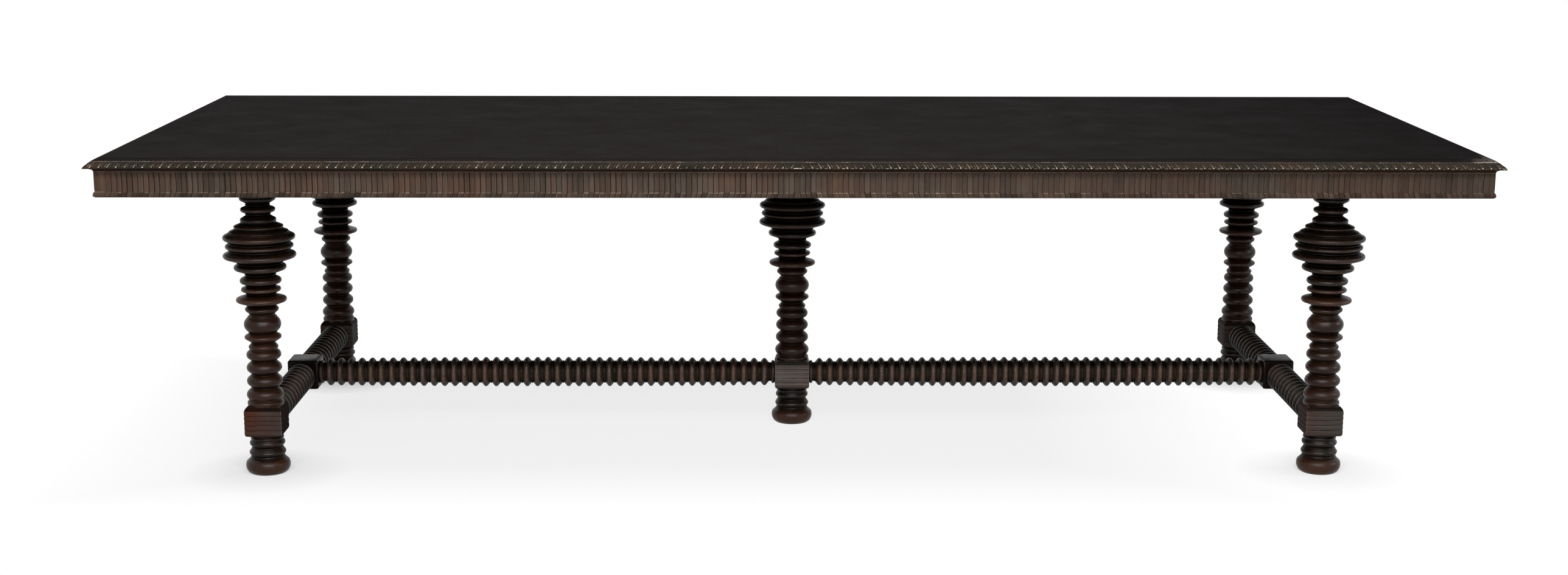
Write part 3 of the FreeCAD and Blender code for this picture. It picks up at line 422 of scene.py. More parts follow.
def wood(name, axis, colours, roughness, specular, wear, bump):
    """Stained wood: grain along an axis, cloudy tone, darker cuts and light high points, which are wear
    and in some pieces painted highlight too. colours gives the deep, middle and light grain, the worn
    and the reddish wood. The cuts are matt, and so is the wood where the tone falls under -1."""
    material = bpy.data.materials.new(name)
    shader = Shader(material)
    deep, body, light, worn, red = colours
    place = shader.add("ShaderNodeTexCoord").outputs["Object"]
    relief, tone, warm = (shader.add("ShaderNodeAttribute", attribute_name=key).outputs["Fac"]
                          for key in ("relief", "tone", "warm"))
    fibre = shader.noise(place, grain_scale(axis), 6, 0.6, 0.4)
    pores = shader.noise(place, grain_scale(axis, 3), 3, 0.7)
    cloud = shader.noise(place, (7, 7, 9), 4, 0.6, 0.3)
    scuffs = shader.noise(place, (160, 160, 160), 5, 0.7, 1.2)
    grain = shader.ramp(fibre, ((0.30, deep), (0.52, body), (0.74, light)))
    colour = shader.mix(shader.chain("ADD", shader.span(cloud, 0.42, 0.66, 0.0, 0.5), warm), grain, red)
    shade = shader.chain("MULTIPLY", shader.span(pores, 0.3, 0.6, 0.75, 1.0),
                         shader.span(tone, -2.5, 3, 0.3, 1.84), shader.span(relief, -1, 0, 0.18, 1.0))
    dark = shader.add("ShaderNodeHueSaturation", {"Color": colour, "Value": shade}).outputs["Color"]
    bare = shader.chain("MULTIPLY", shader.span(relief, 0.35, 1.0),
                        shader.span(scuffs, 0.36, 0.62, 0.15, 1.0), wear)
    gloss = shader.chain("MULTIPLY", shader.span(tone, -2.2, -1), shader.span(relief, -0.7, 0, 0.1, 1.0),
                         specular)
    rough = shader.chain("ADD", shader.chain("MULTIPLY", fibre, 0.6), shader.chain("MULTIPLY", scuffs, 0.4))
    bumped = shader.add("ShaderNodeBump", {"Strength": bump, "Distance": 0.4 * MM, "Height": rough})
    shader.fill(shader.surface, {
        "Base Color": shader.mix(bare, dark, worn),
        "Roughness": shader.chain("ADD", shader.span(cloud, 0.3, 0.7, roughness - 0.06, roughness + 0.06),
                                  shader.span(scuffs, 0.3, 0.7, -0.04, 0.06)),
        "Specular IOR Level": gloss,
        "Normal": bumped.outputs["Normal"],
    })
    return material


def steel():
    """Dull zinc-grey steel of the hidden bolts, washers and screws."""
    material = bpy.data.materials.new("zinc_steel")
    shader = Shader(material)
    spots = shader.noise(shader.add("ShaderNodeTexCoord").outputs["Object"], (400, 400, 400), 4)
    shader.fill(shader.surface, {
        "Base Color": shader.ramp(spots, ((0.3, (0.30, 0.29, 0.28)), (0.7, (0.48, 0.47, 0.45)))),
        "Metallic": 1.0,
        "Roughness": shader.span(spots, 0.3, 0.7, 0.35, 0.55),
    })
    return material


# Mesh building

def placed(name, data):
    """A new object in the scene."""
    made = bpy.data.objects.new(name, data)
    bpy.context.scene.collection.objects.link(made)
    return made


def make(name, points, faces, materials, replaced, relief=None, tone=None, warm=None, picks=None,
         crease=38):
    """A piece from points and faces, with its carved relief, tone and warmth kept on the points.
    picks gives each face's material, and crease the angle from which edges are sharp."""
    mesh = bpy.data.meshes.new(name)
    mesh.from_pydata(np.asarray(points).tolist(), [], faces)
    tidy = bmesh.new()
    tidy.from_mesh(mesh)
    bmesh.ops.recalc_face_normals(tidy, faces=tidy.faces)
    tidy.to_mesh(mesh)
    tidy.free()
    for key, values in (("relief", relief), ("tone", tone), ("warm", warm)):
        if values is not None:
            layer = mesh.attributes.new(key, "FLOAT", "POINT")
            layer.data.foreach_set("value", np.asarray(values, np.float32).ravel())
    mesh.polygons.foreach_set("use_smooth", [True] * len(mesh.polygons))
    mesh.set_sharp_from_angle(angle=math.radians(crease))
    for material in materials:
        mesh.materials.append(material)
    if picks is not None:
        mesh.polygons.foreach_set("material_index", picks)
    made = placed(name, mesh)
    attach(made, "root")
    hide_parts(*replaced)


def tube_faces(rings, around):
    """Faces between closed rings of points, and a cap at both ends."""
    faces = []
    for ring in range(rings - 1):
        for step in range(around):
            following = (step + 1) % around
            faces.append((ring * around + step, ring * around + following,
                          (ring + 1) * around + following, (ring + 1) * around + step))
    return faces + [tuple(range(around)), tuple((rings - 1) * around + step for step in range(around))]


def even(count):
    """Even shares of a way, the end included."""
    return [(step + 1) / count for step in range(count)]


def arc(start, end, radius, shares):
    """Points at shares of an arc from start to end that bends to the left of the way, or to the
    right for a negative radius."""
    start, end = Vector(start), Vector(end)
    half = (end - start) / 2
    side = Vector((-half.y, half.x)).normalized() * math.copysign(1, radius)
    drop = math.sqrt(radius ** 2 - half.length_squared)
    centre = start + half - side * drop
    first = start - centre
    sweep = 2 * math.asin(half.length / abs(radius)) * -math.copysign(1, radius)
    return [tuple(centre + Matrix.Rotation(sweep * share, 2) @ first) for share in shares]


def outward(section):
    """Unit normals of a closed section that runs counterclockwise, averaged at its points."""
    points = np.array(section)
    ways = np.roll(points, -1, axis=0) - points
    ways /= np.linalg.norm(ways, axis=1)[:, None]
    mean = ways + np.roll(ways, 1, axis=0)
    mean /= np.linalg.norm(mean, axis=1)[:, None]
    return np.stack([mean[:, 1], -mean[:, 0]], axis=1)


def mitred(along, inset, run, face):
    """Places along a side drawn in towards the mitres at both ends, for points at an inset.
    At the inset called face the places stay as they are."""
    lead = MITRE_REACH - face
    near = np.where(along < MITRE_REACH, inset + (MITRE_REACH - inset) * (along - face) / lead, along)
    back = run - along
    far = run - (inset + (MITRE_REACH - inset) * (back - face) / lead)
    return np.where(back < MITRE_REACH, far, near)


def swept(side, section, columns, face, foot, carve):
    """Points and faces of a moulding along a side of a rectangle. columns holds each grid point's
    place along the side, by column and section point, and carve gives sinking, relief and tone
    for places along and section points."""
    (corner_x, corner_y), (way_x, way_y), run = side
    normals = outward(section)
    inset, up = np.array(section).T
    sink, relief, tone = carve(mitred(columns, inset, run, face))
    inset = inset - normals[:, 0] * sink
    up = up - normals[:, 1] * sink
    true = mitred(columns, inset, run, face)
    points = np.stack([corner_x + way_x * true - way_y * inset, corner_y + way_y * true + way_x * inset,
                       foot + up + 0 * true], axis=2)
    shape = points.shape[:2]
    return (points.reshape(-1, 3), tube_faces(*shape), np.broadcast_to(relief, shape),
            np.broadcast_to(tone, shape))


def smooth(low, high, values):
    """A soft step from 0 to 1."""
    share = np.clip((values - low) / (high - low), 0, 1)
    return share * share * (3 - 2 * share)


# The lip

# Climbs of the flat part's edges, of the plain slope, of the carved face down to the tip, of the
# nose under it, and of all that follows
FLAT_CLIMBS = (2.4, 2.0)
SLOPE_CLIMBS = (1.7, 1.4, 1.12)
CARVED_CLIMBS = (1.0, 0.88, 0.76, 0.65, 0.55, 0.46, 0.37, 0.29, 0.21, 0.13, 0.06, 0.0)
NOSE_CLIMBS = (-0.08, -0.16, -0.25)
REST_CLIMB = -0.5


def lip_section():
    """The lip's outline, and the climb of each of its points."""
    points = [(LIP_WIDTH, LIP_TOP), (CROWN_INSET, LIP_TOP)]
    shares = [(2 - climb) * (1 - CARVED_SHARE) for climb in SLOPE_CLIMBS]
    shares += [1 - CARVED_SHARE * climb for climb in CARVED_CLIMBS]
    points += arc((CROWN_INSET, LIP_TOP), (0, TIP_HEIGHT), -CROWN_RADIUS, shares)
    nose_foot = (NOSE_INSET, TIP_HEIGHT - NOSE_DROP)
    nose_radius = (NOSE_DROP ** 2 + NOSE_INSET ** 2) / (2 * NOSE_INSET)
    points += arc((0, TIP_HEIGHT), nose_foot, -nose_radius, even(len(NOSE_CLIMBS)))
    points += arc(nose_foot, (LIP_FOOT_INSET, LIP_FOOT_HEIGHT), COVE_RADIUS, even(5))
    points += [(LIP_FOOT_INSET, -REBATE_DEPTH), (REBATE_INSET, -REBATE_DEPTH), (REBATE_INSET, 0),
               (LIP_WIDTH, 0)]
    climbs = [*FLAT_CLIMBS, *SLOPE_CLIMBS, *CARVED_CLIMBS, *NOSE_CLIMBS]
    return points, np.array(climbs + [REST_CLIMB] * (len(points) - len(climbs)))


def flutes(place, rise, pitch):
    """The carving's height share, from 0 in a cut to 1 on a crest, and the shares of the flutes'
    lower ends, of the tongues' tips and of the lines between, whose light marks are wear and painted
    highlight. A rounded tongue and a hollow flute with a raised edge follow each other. place is the
    distance out from the middle motif's edge, rise the height over the lower ends."""
    across = place / pitch - np.floor(place / pitch)
    tongue, flute = (np.hypot((across - middle) / reach, np.clip(1 - rise / end, 0, None))
                     for (middle, reach), end in ((TONGUE_SHARES, TONGUE_END), (FLUTE_SHARES, FLUTE_END)))
    crest = np.where(tongue < 1, 0.35 + 0.65 * np.sqrt(np.clip(1 - tongue ** 2, 0, 1)), 0)
    hollow = np.where(flute < 1, 0.42 + 0.53 * flute ** 3, 0.95 * np.clip(1 - (flute - 1) / 0.2, 0, 1))
    low = 1 - smooth(0.35, 0.85, rise / FLUTE_END)
    rounded = np.exp(-((flute - 0.95) / 0.24) ** 2)
    tip = (1 - smooth(0.8, 1.1, tongue)) * (1 - smooth(1.2, 1.9, rise / TONGUE_END))
    lines = np.maximum(rounded, 1 - smooth(0.35, 0.8, tongue)) * (1 - low)
    return np.maximum(crest, hollow), rounded * low, tip, lines


def top_tone(x):
    """The top's tone along the table, which falls towards both ends, most to the right."""
    share = (x - SEAM_X) / (LENGTH / 2)
    return np.where(share < 0, LEFT_FALL * share, -RIGHT_FALL * share)


def lip(side):
    """The sloping lip of one side, carved with slanted flutes that lean away from the middle."""
    section, climbs = lip_section()
    (start_x, _), (way_x, _), run = LIP_SIDES[side]
    half = run / 2
    count = round((half - MOTIF_REACH) / FLUTE_PITCH)
    pitch = (half - MOTIF_REACH) / count
    out = [MOTIF_REACH * share for share in (0.0, 0.25, 0.5, 0.75, 0.9)]
    out += [MOTIF_REACH + step * pitch / FLUTE_STEPS for step in range(count * FLUTE_STEPS + 1)]
    along = np.array([half - spot for spot in out[:0:-1]] + [half + spot for spot in out])
    rise = climbs * CARVED_SHARE * math.hypot(CROWN_INSET, LIP_TOP - TIP_HEIGHT) - END_RISE
    up = np.clip(climbs, 0, 1.2)
    shift = FLUTE_LEAN * (0.5 * up + 0.5 * up ** 2)
    chance = rng.random((2 * count + 4, 3))
    carved = 1 - smooth(0.98, 1.1, climbs)
    begun = smooth(*TIP_RISES, rise)
    plain = climbs > RIM_CLIMB

    def wear_and_highlight_share(true, place, shares):
        """The light marks on the flutes' lower ends, tips and lines, wear and painted highlight in one, and
        the wear on the upper rim.
        """
        rounded, tip, lines = shares
        number = np.clip(np.floor(place / pitch), 0, count + 1).astype(int) + (true > half) * (count + 2)
        ends, tips, edges = np.moveaxis(chance[number], -1, 0)
        rightward = np.clip(true / run, 0, 1) if side == "front" else 0.6
        # Light marks that are wear and painted highlight: lower ends brighter to the right, lines to the left
        worn = rounded * (0.35 + 0.85 * smooth(0.25, 0.6, rightward)) * (0.55 + 0.45 * ends)
        worn = np.maximum(worn, tip * (0.55 + 0.45 * tips))
        fading = 1 - 0.5 * smooth(0.35, 0.95, climbs)
        worn = np.maximum(worn, lines * fading * (0.72 - 0.16 * rightward) * (0.7 + 0.4 * edges))
        base_line = (1 - smooth(*MOTIF_WORN_RISES, rise)) * (place < -MOTIF_MARGIN)
        worn = np.where(place < 0, np.maximum(0.9 * base_line, 0.25), worn) * begun
        rim = (0.54 - 0.08 * rightward + 0.25 * tips ** 8) * np.exp(-((climbs - 1.0) / 0.06) ** 2)
        return worn, rim

    def carve(true):
        place = np.abs(true - half) + shift - MOTIF_REACH
        height, *shares = flutes(place, rise, pitch)
        height = np.where(place < 0, np.clip(-place / MOTIF_EDGE, 0, 1), height)
        height = 0.8 * (1 - begun) + height * begun
        sink = FLUTE_DEPTH * (1 - height) * carved * smooth(-0.26, -0.12, climbs)
        worn, rim = wear_and_highlight_share(true, place, shares)
        # The cuts are darkened
        cut_darkening = (1 - smooth(0.05, 0.5, height)) * carved * begun * (1 - smooth(0.86, 0.98, climbs))
        relief = np.maximum(np.where(cut_darkening > 0.2, -cut_darkening, worn * carved), rim)
        polished = top_tone(start_x + way_x * true) + SLOPE_TONE * (climbs < CROWN_CLIMB)
        # Under the tip the nose and the cove are darkened as painted shade
        tone = polished * plain + NOSE_SHADE_TONE * (1 - smooth(-0.2, -0.06, climbs))
        tone = np.where(climbs < COVE_CLIMB, COVE_SHADE_TONE, tone)
        if side in ("front", "right"):
            bare = (1 - smooth(*BARE_REACH, true if side == "right" else run - true)) * plain
            relief = relief + BARE_WEAR * bare
            tone = tone + BARE_TONE * bare
        return sink, relief, tone

    columns = np.repeat(along[:, None], len(section), axis=1)
    points, faces, relief, tone = swept(LIP_SIDES[side], section, columns, 0.0, UNDERSIDE, carve)
    warmth = np.tile(np.where(climbs < COVE_CLIMB, COVE_WARMTH, 0.0), len(along))
    picks = np.append(np.tile(plain & np.roll(plain, -1), len(along) - 1), [False, False]).astype(int)
    make(f"{side}_carved_lip", points, faces, [EDGE_WOOD[side], TOP_WOOD],
         [f"{side}_edge_moulding"], relief, tone, warmth, picks)


# The frieze and its bead

def strip_cuts(run):
    """Places of the cuts along a side, measured from its start."""
    half = run / 2
    reach = half - FRIEZE_TOP_INSET
    count = round(reach / STRIP_PITCH - 0.5)
    pitch = reach / (count + 0.5)
    right = [(number + 0.5) * pitch for number in range(count)]
    return np.array([half - spot for spot in right[::-1]] + [half + spot for spot in right])


def cut_columns(cuts, reaches, sway, run):
    """Grid places across every strip of a side: each cut's bottom and edges, and points between.
    reaches gives the cuts' half widths, and sway moves each cut by section point. Gives each
    place's kind and the number of its strip too."""
    first, last = (np.full((1, sway.shape[1]), end) for end in (FRIEZE_TOP_INSET, run - FRIEZE_TOP_INSET))
    edges = np.concatenate([first, cuts[:, None] + sway, last])
    gaps = np.concatenate([[0], reaches, [0]])
    lines, kinds, homes = [edges[0]], [FLAT], [0]
    for number, (start, end) in enumerate(zip(edges, edges[1:])):
        final = number == len(cuts)
        start = start + gaps[number]
        inner = end - gaps[number + 1] - start
        places = [(start + inner * share, kind)
                  for share, kind in ((0, EDGE), (0.3, FLAT), (0.7, FLAT), (1, EDGE))]
        for line, kind in places[number == 0:3 if final else 4] + [(end, FLAT if final else CUT)]:
            lines.append(line)
            kinds.append(kind)
            homes.append(number)
    return np.array(lines), np.array(kinds), np.array(homes)


def near_end(true, run):
    """1 at both ends of a side, falling to 0 further in."""
    return 1 - smooth(FRIEZE_TOP_INSET, END_FILL_REACH, np.minimum(true, run - true))


def front_right(side, true, low, high):
    """1 at the front's right part, 0 at its left part and on the other sides."""
    return smooth(low, high, true / FRIEZE_SIDES[side][2]) * (side == "front")


def by_strip(trait, homes):
    """A trait of each cut for the grid places of its strip. The last strip has no cut."""
    return np.append(trait, 0.5)[homes][:, None]


def strip_piece(side, piece, replaced, section, columns, carve, warm=None):
    """The frieze or bead of one side."""
    points, faces, relief, tone = swept(FRIEZE_SIDES[side], section, columns, FRIEZE_TOP_INSET,
                                        FRIEZE_FOOT, carve)
    make(f"{side}_{piece}", points, faces, [FRIEZE_WOOD[side]], [f"{side}_{replaced}"],
         relief, tone, warm, crease=30)


def frieze(side, cuts, traits):
    """The fluted board of one side: narrow flat strips between hand-cut V grooves. Its hollow
    runs out to a straight corner at both ends."""
    run = FRIEZE_SIDES[side][2]
    head = FRIEZE_HEIGHT - REBATE_DEPTH
    section = [(FRIEZE_BACK_INSET, FRIEZE_HEIGHT), (REBATE_INSET, FRIEZE_HEIGHT), (REBATE_INSET, head),
               (FRIEZE_TOP_INSET, head)]
    first = len(section) - 1
    shares = (0.022, 0.045, 0.08, 0.13, 0.23, 0.36, 0.5, 0.65, 0.82, 1.0)
    section += arc(section[-1], (FRIEZE_FOOT_INSET, BEAD_HEIGHT), FRIEZE_HOLLOW_RADIUS, shares)
    section += [(BEAD_SEAT_INSET, BEAD_HEIGHT), (BEAD_SEAT_INSET, 0), (FRIEZE_BACK_INSET, 0)]
    inset, up = np.array(section).T
    on_face = np.zeros(len(section))
    on_face[first:first + 1 + len(shares)] = 1
    hollow = (inset - FRIEZE_TOP_INSET) * on_face
    fall = (FRIEZE_HEIGHT - up) / FRIEZE_HEIGHT
    waves = np.sin(np.outer(2.2 + 4 * traits["waves"], fall) * math.pi + traits["phase"][:, None] * 6)
    sway = CUT_WANDER * (0.8 * (traits["shift"] - 0.5)[:, None] + 0.45 * waves * traits["sweep"][:, None])
    reaches = CUT_REACH * (0.55 + 0.9 * traits["depth"])
    columns, kinds, homes = cut_columns(cuts, reaches, sway, run)
    kinds = kinds[:, None]
    depth, lean, shade = (by_strip(traits[key], homes) for key in ("depth", "lean", "tone"))
    drop = head - up
    grooved = on_face * (1 - smooth(*CUT_DROPS, drop))
    ledge = smooth(*LEDGE_DROPS, drop)
    # A dark line of painted shadow below the ledge
    line = np.exp(-((drop - SHADOW_LINE_DROP) / SHADOW_LINE_WIDTH) ** 2)

    def carve(true):
        crisp = 1 - 0.4 * front_right(side, true, 0.46, 0.52)
        deep = CUT_DEPTH * (0.7 + 0.6 * depth) * (1 - kinds) ** 1.3 * crisp
        deep = deep + STRIP_LEAN * (lean - 0.5) * (kinds != CUT)
        sink = deep * grooved - hollow * near_end(true, run)
        relief = -crisp * (kinds == CUT) * grooved
        relief = relief + 1.1 * (kinds == EDGE) * on_face * np.maximum(lean - 0.5, 0)
        right = front_right(side, true, 0.5, 0.75)
        tone = (shade * 1.6 - 0.8) * (1 - 0.5 * right) - 0.7 * right
        # The ledge's light line is wear and painted highlight; the line below it is painted shadow
        return sink, relief + ledge - 0.3 * line, tone

    warmth = 0.22 * lean[:, 0] ** 2 * (1 - smooth(0.4, 0.8, columns[:, 0] / run))
    strip_piece(side, "fluted_frieze", "frieze_board", section, columns, carve,
                np.repeat(warmth, len(section)))


def bead(side, cuts, traits):
    """The bead at the frieze's foot, cut into pillows that lean away from the middle."""
    run = FRIEZE_SIDES[side][2]
    half = run / 2
    face_steps = 8
    section = [(BEAD_SEAT_INSET, BEAD_HEIGHT), (FRIEZE_FOOT_INSET, BEAD_HEIGHT)]
    section += arc(section[-1], (BEAD_FOOT_INSET, 0), -BEAD_RADIUS, even(face_steps))
    section += [(BEAD_SEAT_INSET, 0)]
    up = np.array(section)[:, 1]
    on_face = np.zeros(len(section))
    on_face[1:face_steps + 2] = 1
    lean = np.outer(np.sign(cuts - half) * (0.8 + 0.4 * traits["slant"]), BEAD_LEAN * (1 - up / BEAD_HEIGHT))
    sway = lean + CUT_WANDER * (traits["shift"] - 0.5)[:, None]
    reaches = CUT_REACH * (0.5 + 0.5 * traits["depth"])
    columns, kinds, homes = cut_columns(cuts, reaches, sway, run)
    depth, tones, chips = (by_strip(traits[key], homes) for key in ("depth", "bead_tone", "chips"))
    before = np.append(kinds[1:], FLAT) == CUT
    after = np.append(FLAT, kinds[:-1]) == CUT
    outer = (np.where(columns[:, 0] > half, before, after) * (kinds == EDGE))[:, None]
    kinds = kinds[:, None]
    top = smooth(*BEAD_TOP_DROPS, BEAD_HEIGHT - up)

    def carve(true):
        deep = CUT_DEPTH * (0.8 + 0.5 * depth) * (kinds == CUT) + BEAD_PILLOW * (kinds == EDGE)
        sink = deep * smooth(0, BEAD_CUT_FADE, up)
        sink = sink - BEAD_END_FILL * smooth(0, BEAD_FILL_FADE, up) * near_end(true, run)
        worn = np.maximum(top * (0.35 + 0.7 * chips) * (kinds != CUT), outer * (0.3 + 0.5 * chips))
        faint = 1 - 0.4 * front_right(side, true, 0.55, 0.8)
        return sink * on_face, (worn * faint - 0.9 * (kinds == CUT)) * on_face, tones * 1.8 - 1.8

    strip_piece(side, "cut_bead", "bead_strip", section, columns, carve)


# Turned work

def sampled(forms, steps=5):
    """Points (along, radius) of turned forms at real size, with arcs as short chords."""
    points = []
    for along, radius, reach, rise in forms:
        if not reach:
            points.append((along, radius - rise))
            continue
        bend = (reach ** 2 + rise ** 2) / (2 * abs(rise))
        sweep = 2 * math.atan2(abs(rise), reach)
        way = math.copysign(1, rise)
        count = steps if reach > 1 * MM else 3
        for step in range(-count, count + 1):
            turn = sweep * step / count
            points.append((along + bend * math.sin(turn), radius - way * bend * (1 - math.cos(turn))))
    return points


def heights(points, window, depth):
    """How far each outline point stands over its neighbourhood's mean radius, as a relief."""
    along, radius = np.array(points).T
    fine = np.linspace(along[0], along[-1], HEIGHT_SAMPLES)
    level = np.interp(fine, along, radius)
    width = max(3, int(window / (fine[1] - fine[0])))
    padded = np.pad(level, width, mode="edge")
    mean = np.convolve(padded, np.ones(2 * width + 1) / (2 * width + 1), mode="valid")
    return np.clip((radius - np.interp(along, fine, mean)) / depth, -1, 1)


def lathe(points, measure, segments, place):
    """A closed turned shape. measure gives its relief's window and depth, and place a point for a
    distance along and two across."""
    turns = [2 * math.pi * segment / segments for segment in range(segments)]
    spots = [place(along, radius * math.cos(turn), radius * math.sin(turn))
             for along, radius in points for turn in turns]
    marks = np.repeat(heights(points, *measure), segments).tolist()
    return spots, tube_faces(len(points), segments), marks


def block(middle, half_x, half_y, low, high, reeds, shoulders, corner=LEG_CORNER):
    """A square block with rounded corners and shoulders, and horizontal reeds if it has any.
    shoulders gives the lower and the upper one. The tone darkens reeded faces that look along X, as painted
    shade on the block's sides."""
    (foot, foot_inset), (head, head_inset) = shoulders
    bends = ((1, 0), (0.93, 0.12), (0.55, 0.25), (0.25, 0.5), (0, 1))
    rows = [(low + foot * share, foot_inset * inset, -0.30) for share, inset in bends[::-1]]
    if reeds:
        start = low + foot
        pitch = (high - low - foot - head) / reeds
        rows.pop()
        for reed in range(reeds):
            for share in (0.0, 0.07, 0.16, 0.36, 0.64, 0.84, 0.93):
                off = abs(2 * share - 1)
                cut = share == 0 and reed
                inset = REED_DEPTH if cut else REED_DEPTH * 0.42 * off ** 4
                mark = -1.0 if cut else 0.30 * (0.5 < off < 0.8)
                rows.append((start + (reed + share) * pitch, inset, mark))
    rows += [(high - head * share, head_inset * inset, (-0.92 if reeds else -0.3) * (share < 1))
             for share, inset in bends]
    per_side, per_corner = 12, 3
    spots, relief, tone = [], [], []
    phases = rng.random(3) * 2 * math.pi
    for level, inset, mark in rows:
        reach_x, reach_y = half_x - inset, half_y - inset
        for quarter in range(4):
            turn = Matrix.Rotation(quarter * math.pi / 2, 2)
            wide, deep = (reach_x, reach_y) if quarter % 2 == 0 else (reach_y, reach_x)
            across = [(wide, -deep + corner + 2 * (deep - corner) * step / per_side)
                      for step in range(per_side)]
            across += [(wide - corner + corner * math.cos(angle), deep - corner + corner * math.sin(angle))
                       for angle in (math.pi / 2 * step / per_corner for step in range(per_corner))]
            for number, flat in enumerate(across):
                x, y = turn @ Vector(flat)
                waves = [math.sin(phase + REED_WAVES * (x + y) * (order + 1.3))
                         for order, phase in enumerate(phases)]
                sway = REED_WANDER * sum(waves) if mark == -1 else 0
                spots.append((middle[0] + x, middle[1] + y, level + sway))
                # Reeded faces that look along X get painted shade: a darker tone, with fainter cuts
                shaded_side = reeds and abs(x) > reach_x - 0.8 * MM
                relief.append(0.9 if number > per_side and mark > -0.3 else mark * (0.2 if shaded_side else 1))
                tone.append(-0.9 if shaded_side else 0.0)
    return spots, tube_faces(len(rows), 4 * (per_side + per_corner)), relief, tone


def joined(shapes, picks):
    """Several closed shapes as one set of points, faces, relief, tone and material picks."""
    points, faces, relief, tone, chosen = [], [], [], [], []
    for (spots, sides, marks, *tones), pick in zip(shapes, picks):
        base = len(points)
        points += spots
        faces += [tuple(base + corner for corner in side) for side in sides]
        relief += marks
        tone += tones[0] if tones else [0.0] * len(spots)
        chosen += [pick] * len(sides)
    return points, faces, relief, tone, chosen


def scaled(shares, start, length, radius):
    """Turned forms at real size."""
    return [(start + spot * length, wide * radius, reach * length, rise * radius)
            for spot, wide, reach, rise in shares]


def leg(name, across, depth, redness, block_tone, leg_tone_and_shade):
    """A turned leg with its reeded stretcher block and plain top block."""
    x, y = across * LEG_X, depth * LEG_Y
    block_low = STRETCHER_Z - BLOCK_HEIGHT / 2
    block_high = STRETCHER_Z + BLOCK_HEIGHT / 2
    stem_high = LEG_HEAD - TOP_BLOCK_HEIGHT
    foot = sampled(scaled(FOOT_SHARES, 0, block_low, FOOT_RADIUS))
    foot.append((block_low + SINK, foot[-1][1]))
    stem = sampled(scaled(STEM_SHARES, block_high, stem_high - block_high, DISC_RADIUS))
    stem = [(block_high - SINK, stem[0][1])] + stem + [(stem_high + SINK, stem[-1][1])]
    bun = FOOT_BUN_SHARE * block_low
    shapes = []
    for outline in (foot, stem):
        shape = lathe(outline, LEG_RELIEF, LEG_SEGMENTS,
                      lambda up, right, back: (x + right, y + back, up))
        # The leg's tone is painted shade on the centre leg, under the top
        tone = [leg_tone_and_shade + BUN_TONE * (1 - smooth(bun, 1.1 * bun, up)) for _, _, up in shape[0]]
        shapes.append((*shape, tone))
    half = BLOCK_WIDTH / 2
    shapes.append(block((x, y), half, half, block_low, block_high, REEDS, BLOCK_SHOULDERS))
    shapes.append(block((x, y), half, half, stem_high, LEG_HEAD, 0, PLAIN_SHOULDERS))
    points, faces, relief, tone, picks = joined(shapes, (0, 0, 1, 0))
    reeded = [block_low < up < block_high and max(abs(right - x), abs(back - y)) > half - REEDED_MARGIN
              for right, back, up in points]
    tone = [mark + block_tone * on for mark, on in zip(tone, reeded)]
    # Over its upper heights the stem loses warmth, a painted shade on the discs under the frieze
    warm = [redness * min(max(0.5 - (right - x) / BLOCK_WIDTH, 0), 1) if on else
            LOW_WARMTH * (up < bun or up > block_high) - DISC_SHADE_COOLING * smooth(*DISC_SHADE_HEIGHTS, up)
            for (right, _, up), on in zip(points, reeded)]
    make(f"turned_{name}", points, faces, [LEG_WOOD, BLOCK_WOOD], [name],
         relief, tone, warm, picks)


def ring_forms(start, length, rings, swell):
    """Turned forms of a run between two blocks: a collar, the rings, and a collar again."""
    run = length - 2 * (COLLAR_WIDTH + NECK_WIDTH)
    pitch = run / rings

    def stub(face, way):
        return [
            (face - way * SINK, COLLAR_RADIUS - COLLAR_FORM[1], 0, 0),
            (face + way * COLLAR_WIDTH / 2, COLLAR_RADIUS, *COLLAR_FORM),
            (face + way * (COLLAR_WIDTH + NECK_WIDTH / 2), NECK_RADIUS, *NECK_FORM),
        ]

    forms = stub(start, 1)
    for ring in range(rings):
        middle = start + COLLAR_WIDTH + NECK_WIDTH + (ring + 0.5) * pitch
        bulge = swell * (1 - (2 * (ring + 0.5) / rings - 1) ** 2)
        shares = RING_SHARES if ring < rings - 1 else RING_SHARES[:-1]
        forms += [(middle + spot * pitch, RING_RADIUS + bulge - deep * GROOVE_DEPTH,
                   reach * pitch, rise * GROOVE_DEPTH) for spot, deep, reach, rise in shares]
    return forms + stub(start + length, -1)[::-1]


def painted_highlight_band(shape, facing):
    """A turned bar whose crest wear and lighter grooves are kept mostly where facing gives nearly 1,
    so that they make a band of painted highlight, with painted shade elsewhere. Gives its tone too."""
    spots, faces, marks = shape
    share = smooth(0.6, 1.0, np.array([facing(*spot) for spot in spots]))
    marks = np.array(marks)
    # Inside the band: more crest wear and lighter grooves as painted highlight; outside it, painted shade
    marks = np.where(marks > 0, marks * (0.25 + 0.75 * share), marks * (1 - 0.6 * share))
    painted_shade_tone, bare = BAR_SHADE_AND_HIGHLIGHT_TONES
    return spots, faces, marks.tolist(), (painted_shade_tone + (bare - painted_shade_tone) * share).tolist()


def long_stretchers():
    """The two ring-turned bars along the table, worn at their front and back, where their band is painted
    highlight as well, with painted shade above and below.
    """
    start = BLOCK_WIDTH / 2
    length = LEG_X - MID_BLOCK[0] / 2 - start
    outline = sampled(ring_forms(start, length, LONG_RINGS, RING_SWELL), 4)
    for hand, side in ((-1, "left"), (1, "right")):
        name = f"{side}_long_stretcher"
        shape = lathe(outline, LONG_RELIEF, BAR_SEGMENTS,
                      lambda along, back, up: (hand * along, back, STRETCHER_Z + up))
        points, faces, marks, tone = painted_highlight_band(shape, lambda x, y, z: abs(y) / math.hypot(y, z - STRETCHER_Z))
        make(f"turned_{name}", points, faces, [LONG_WOOD], [name], marks, tone)


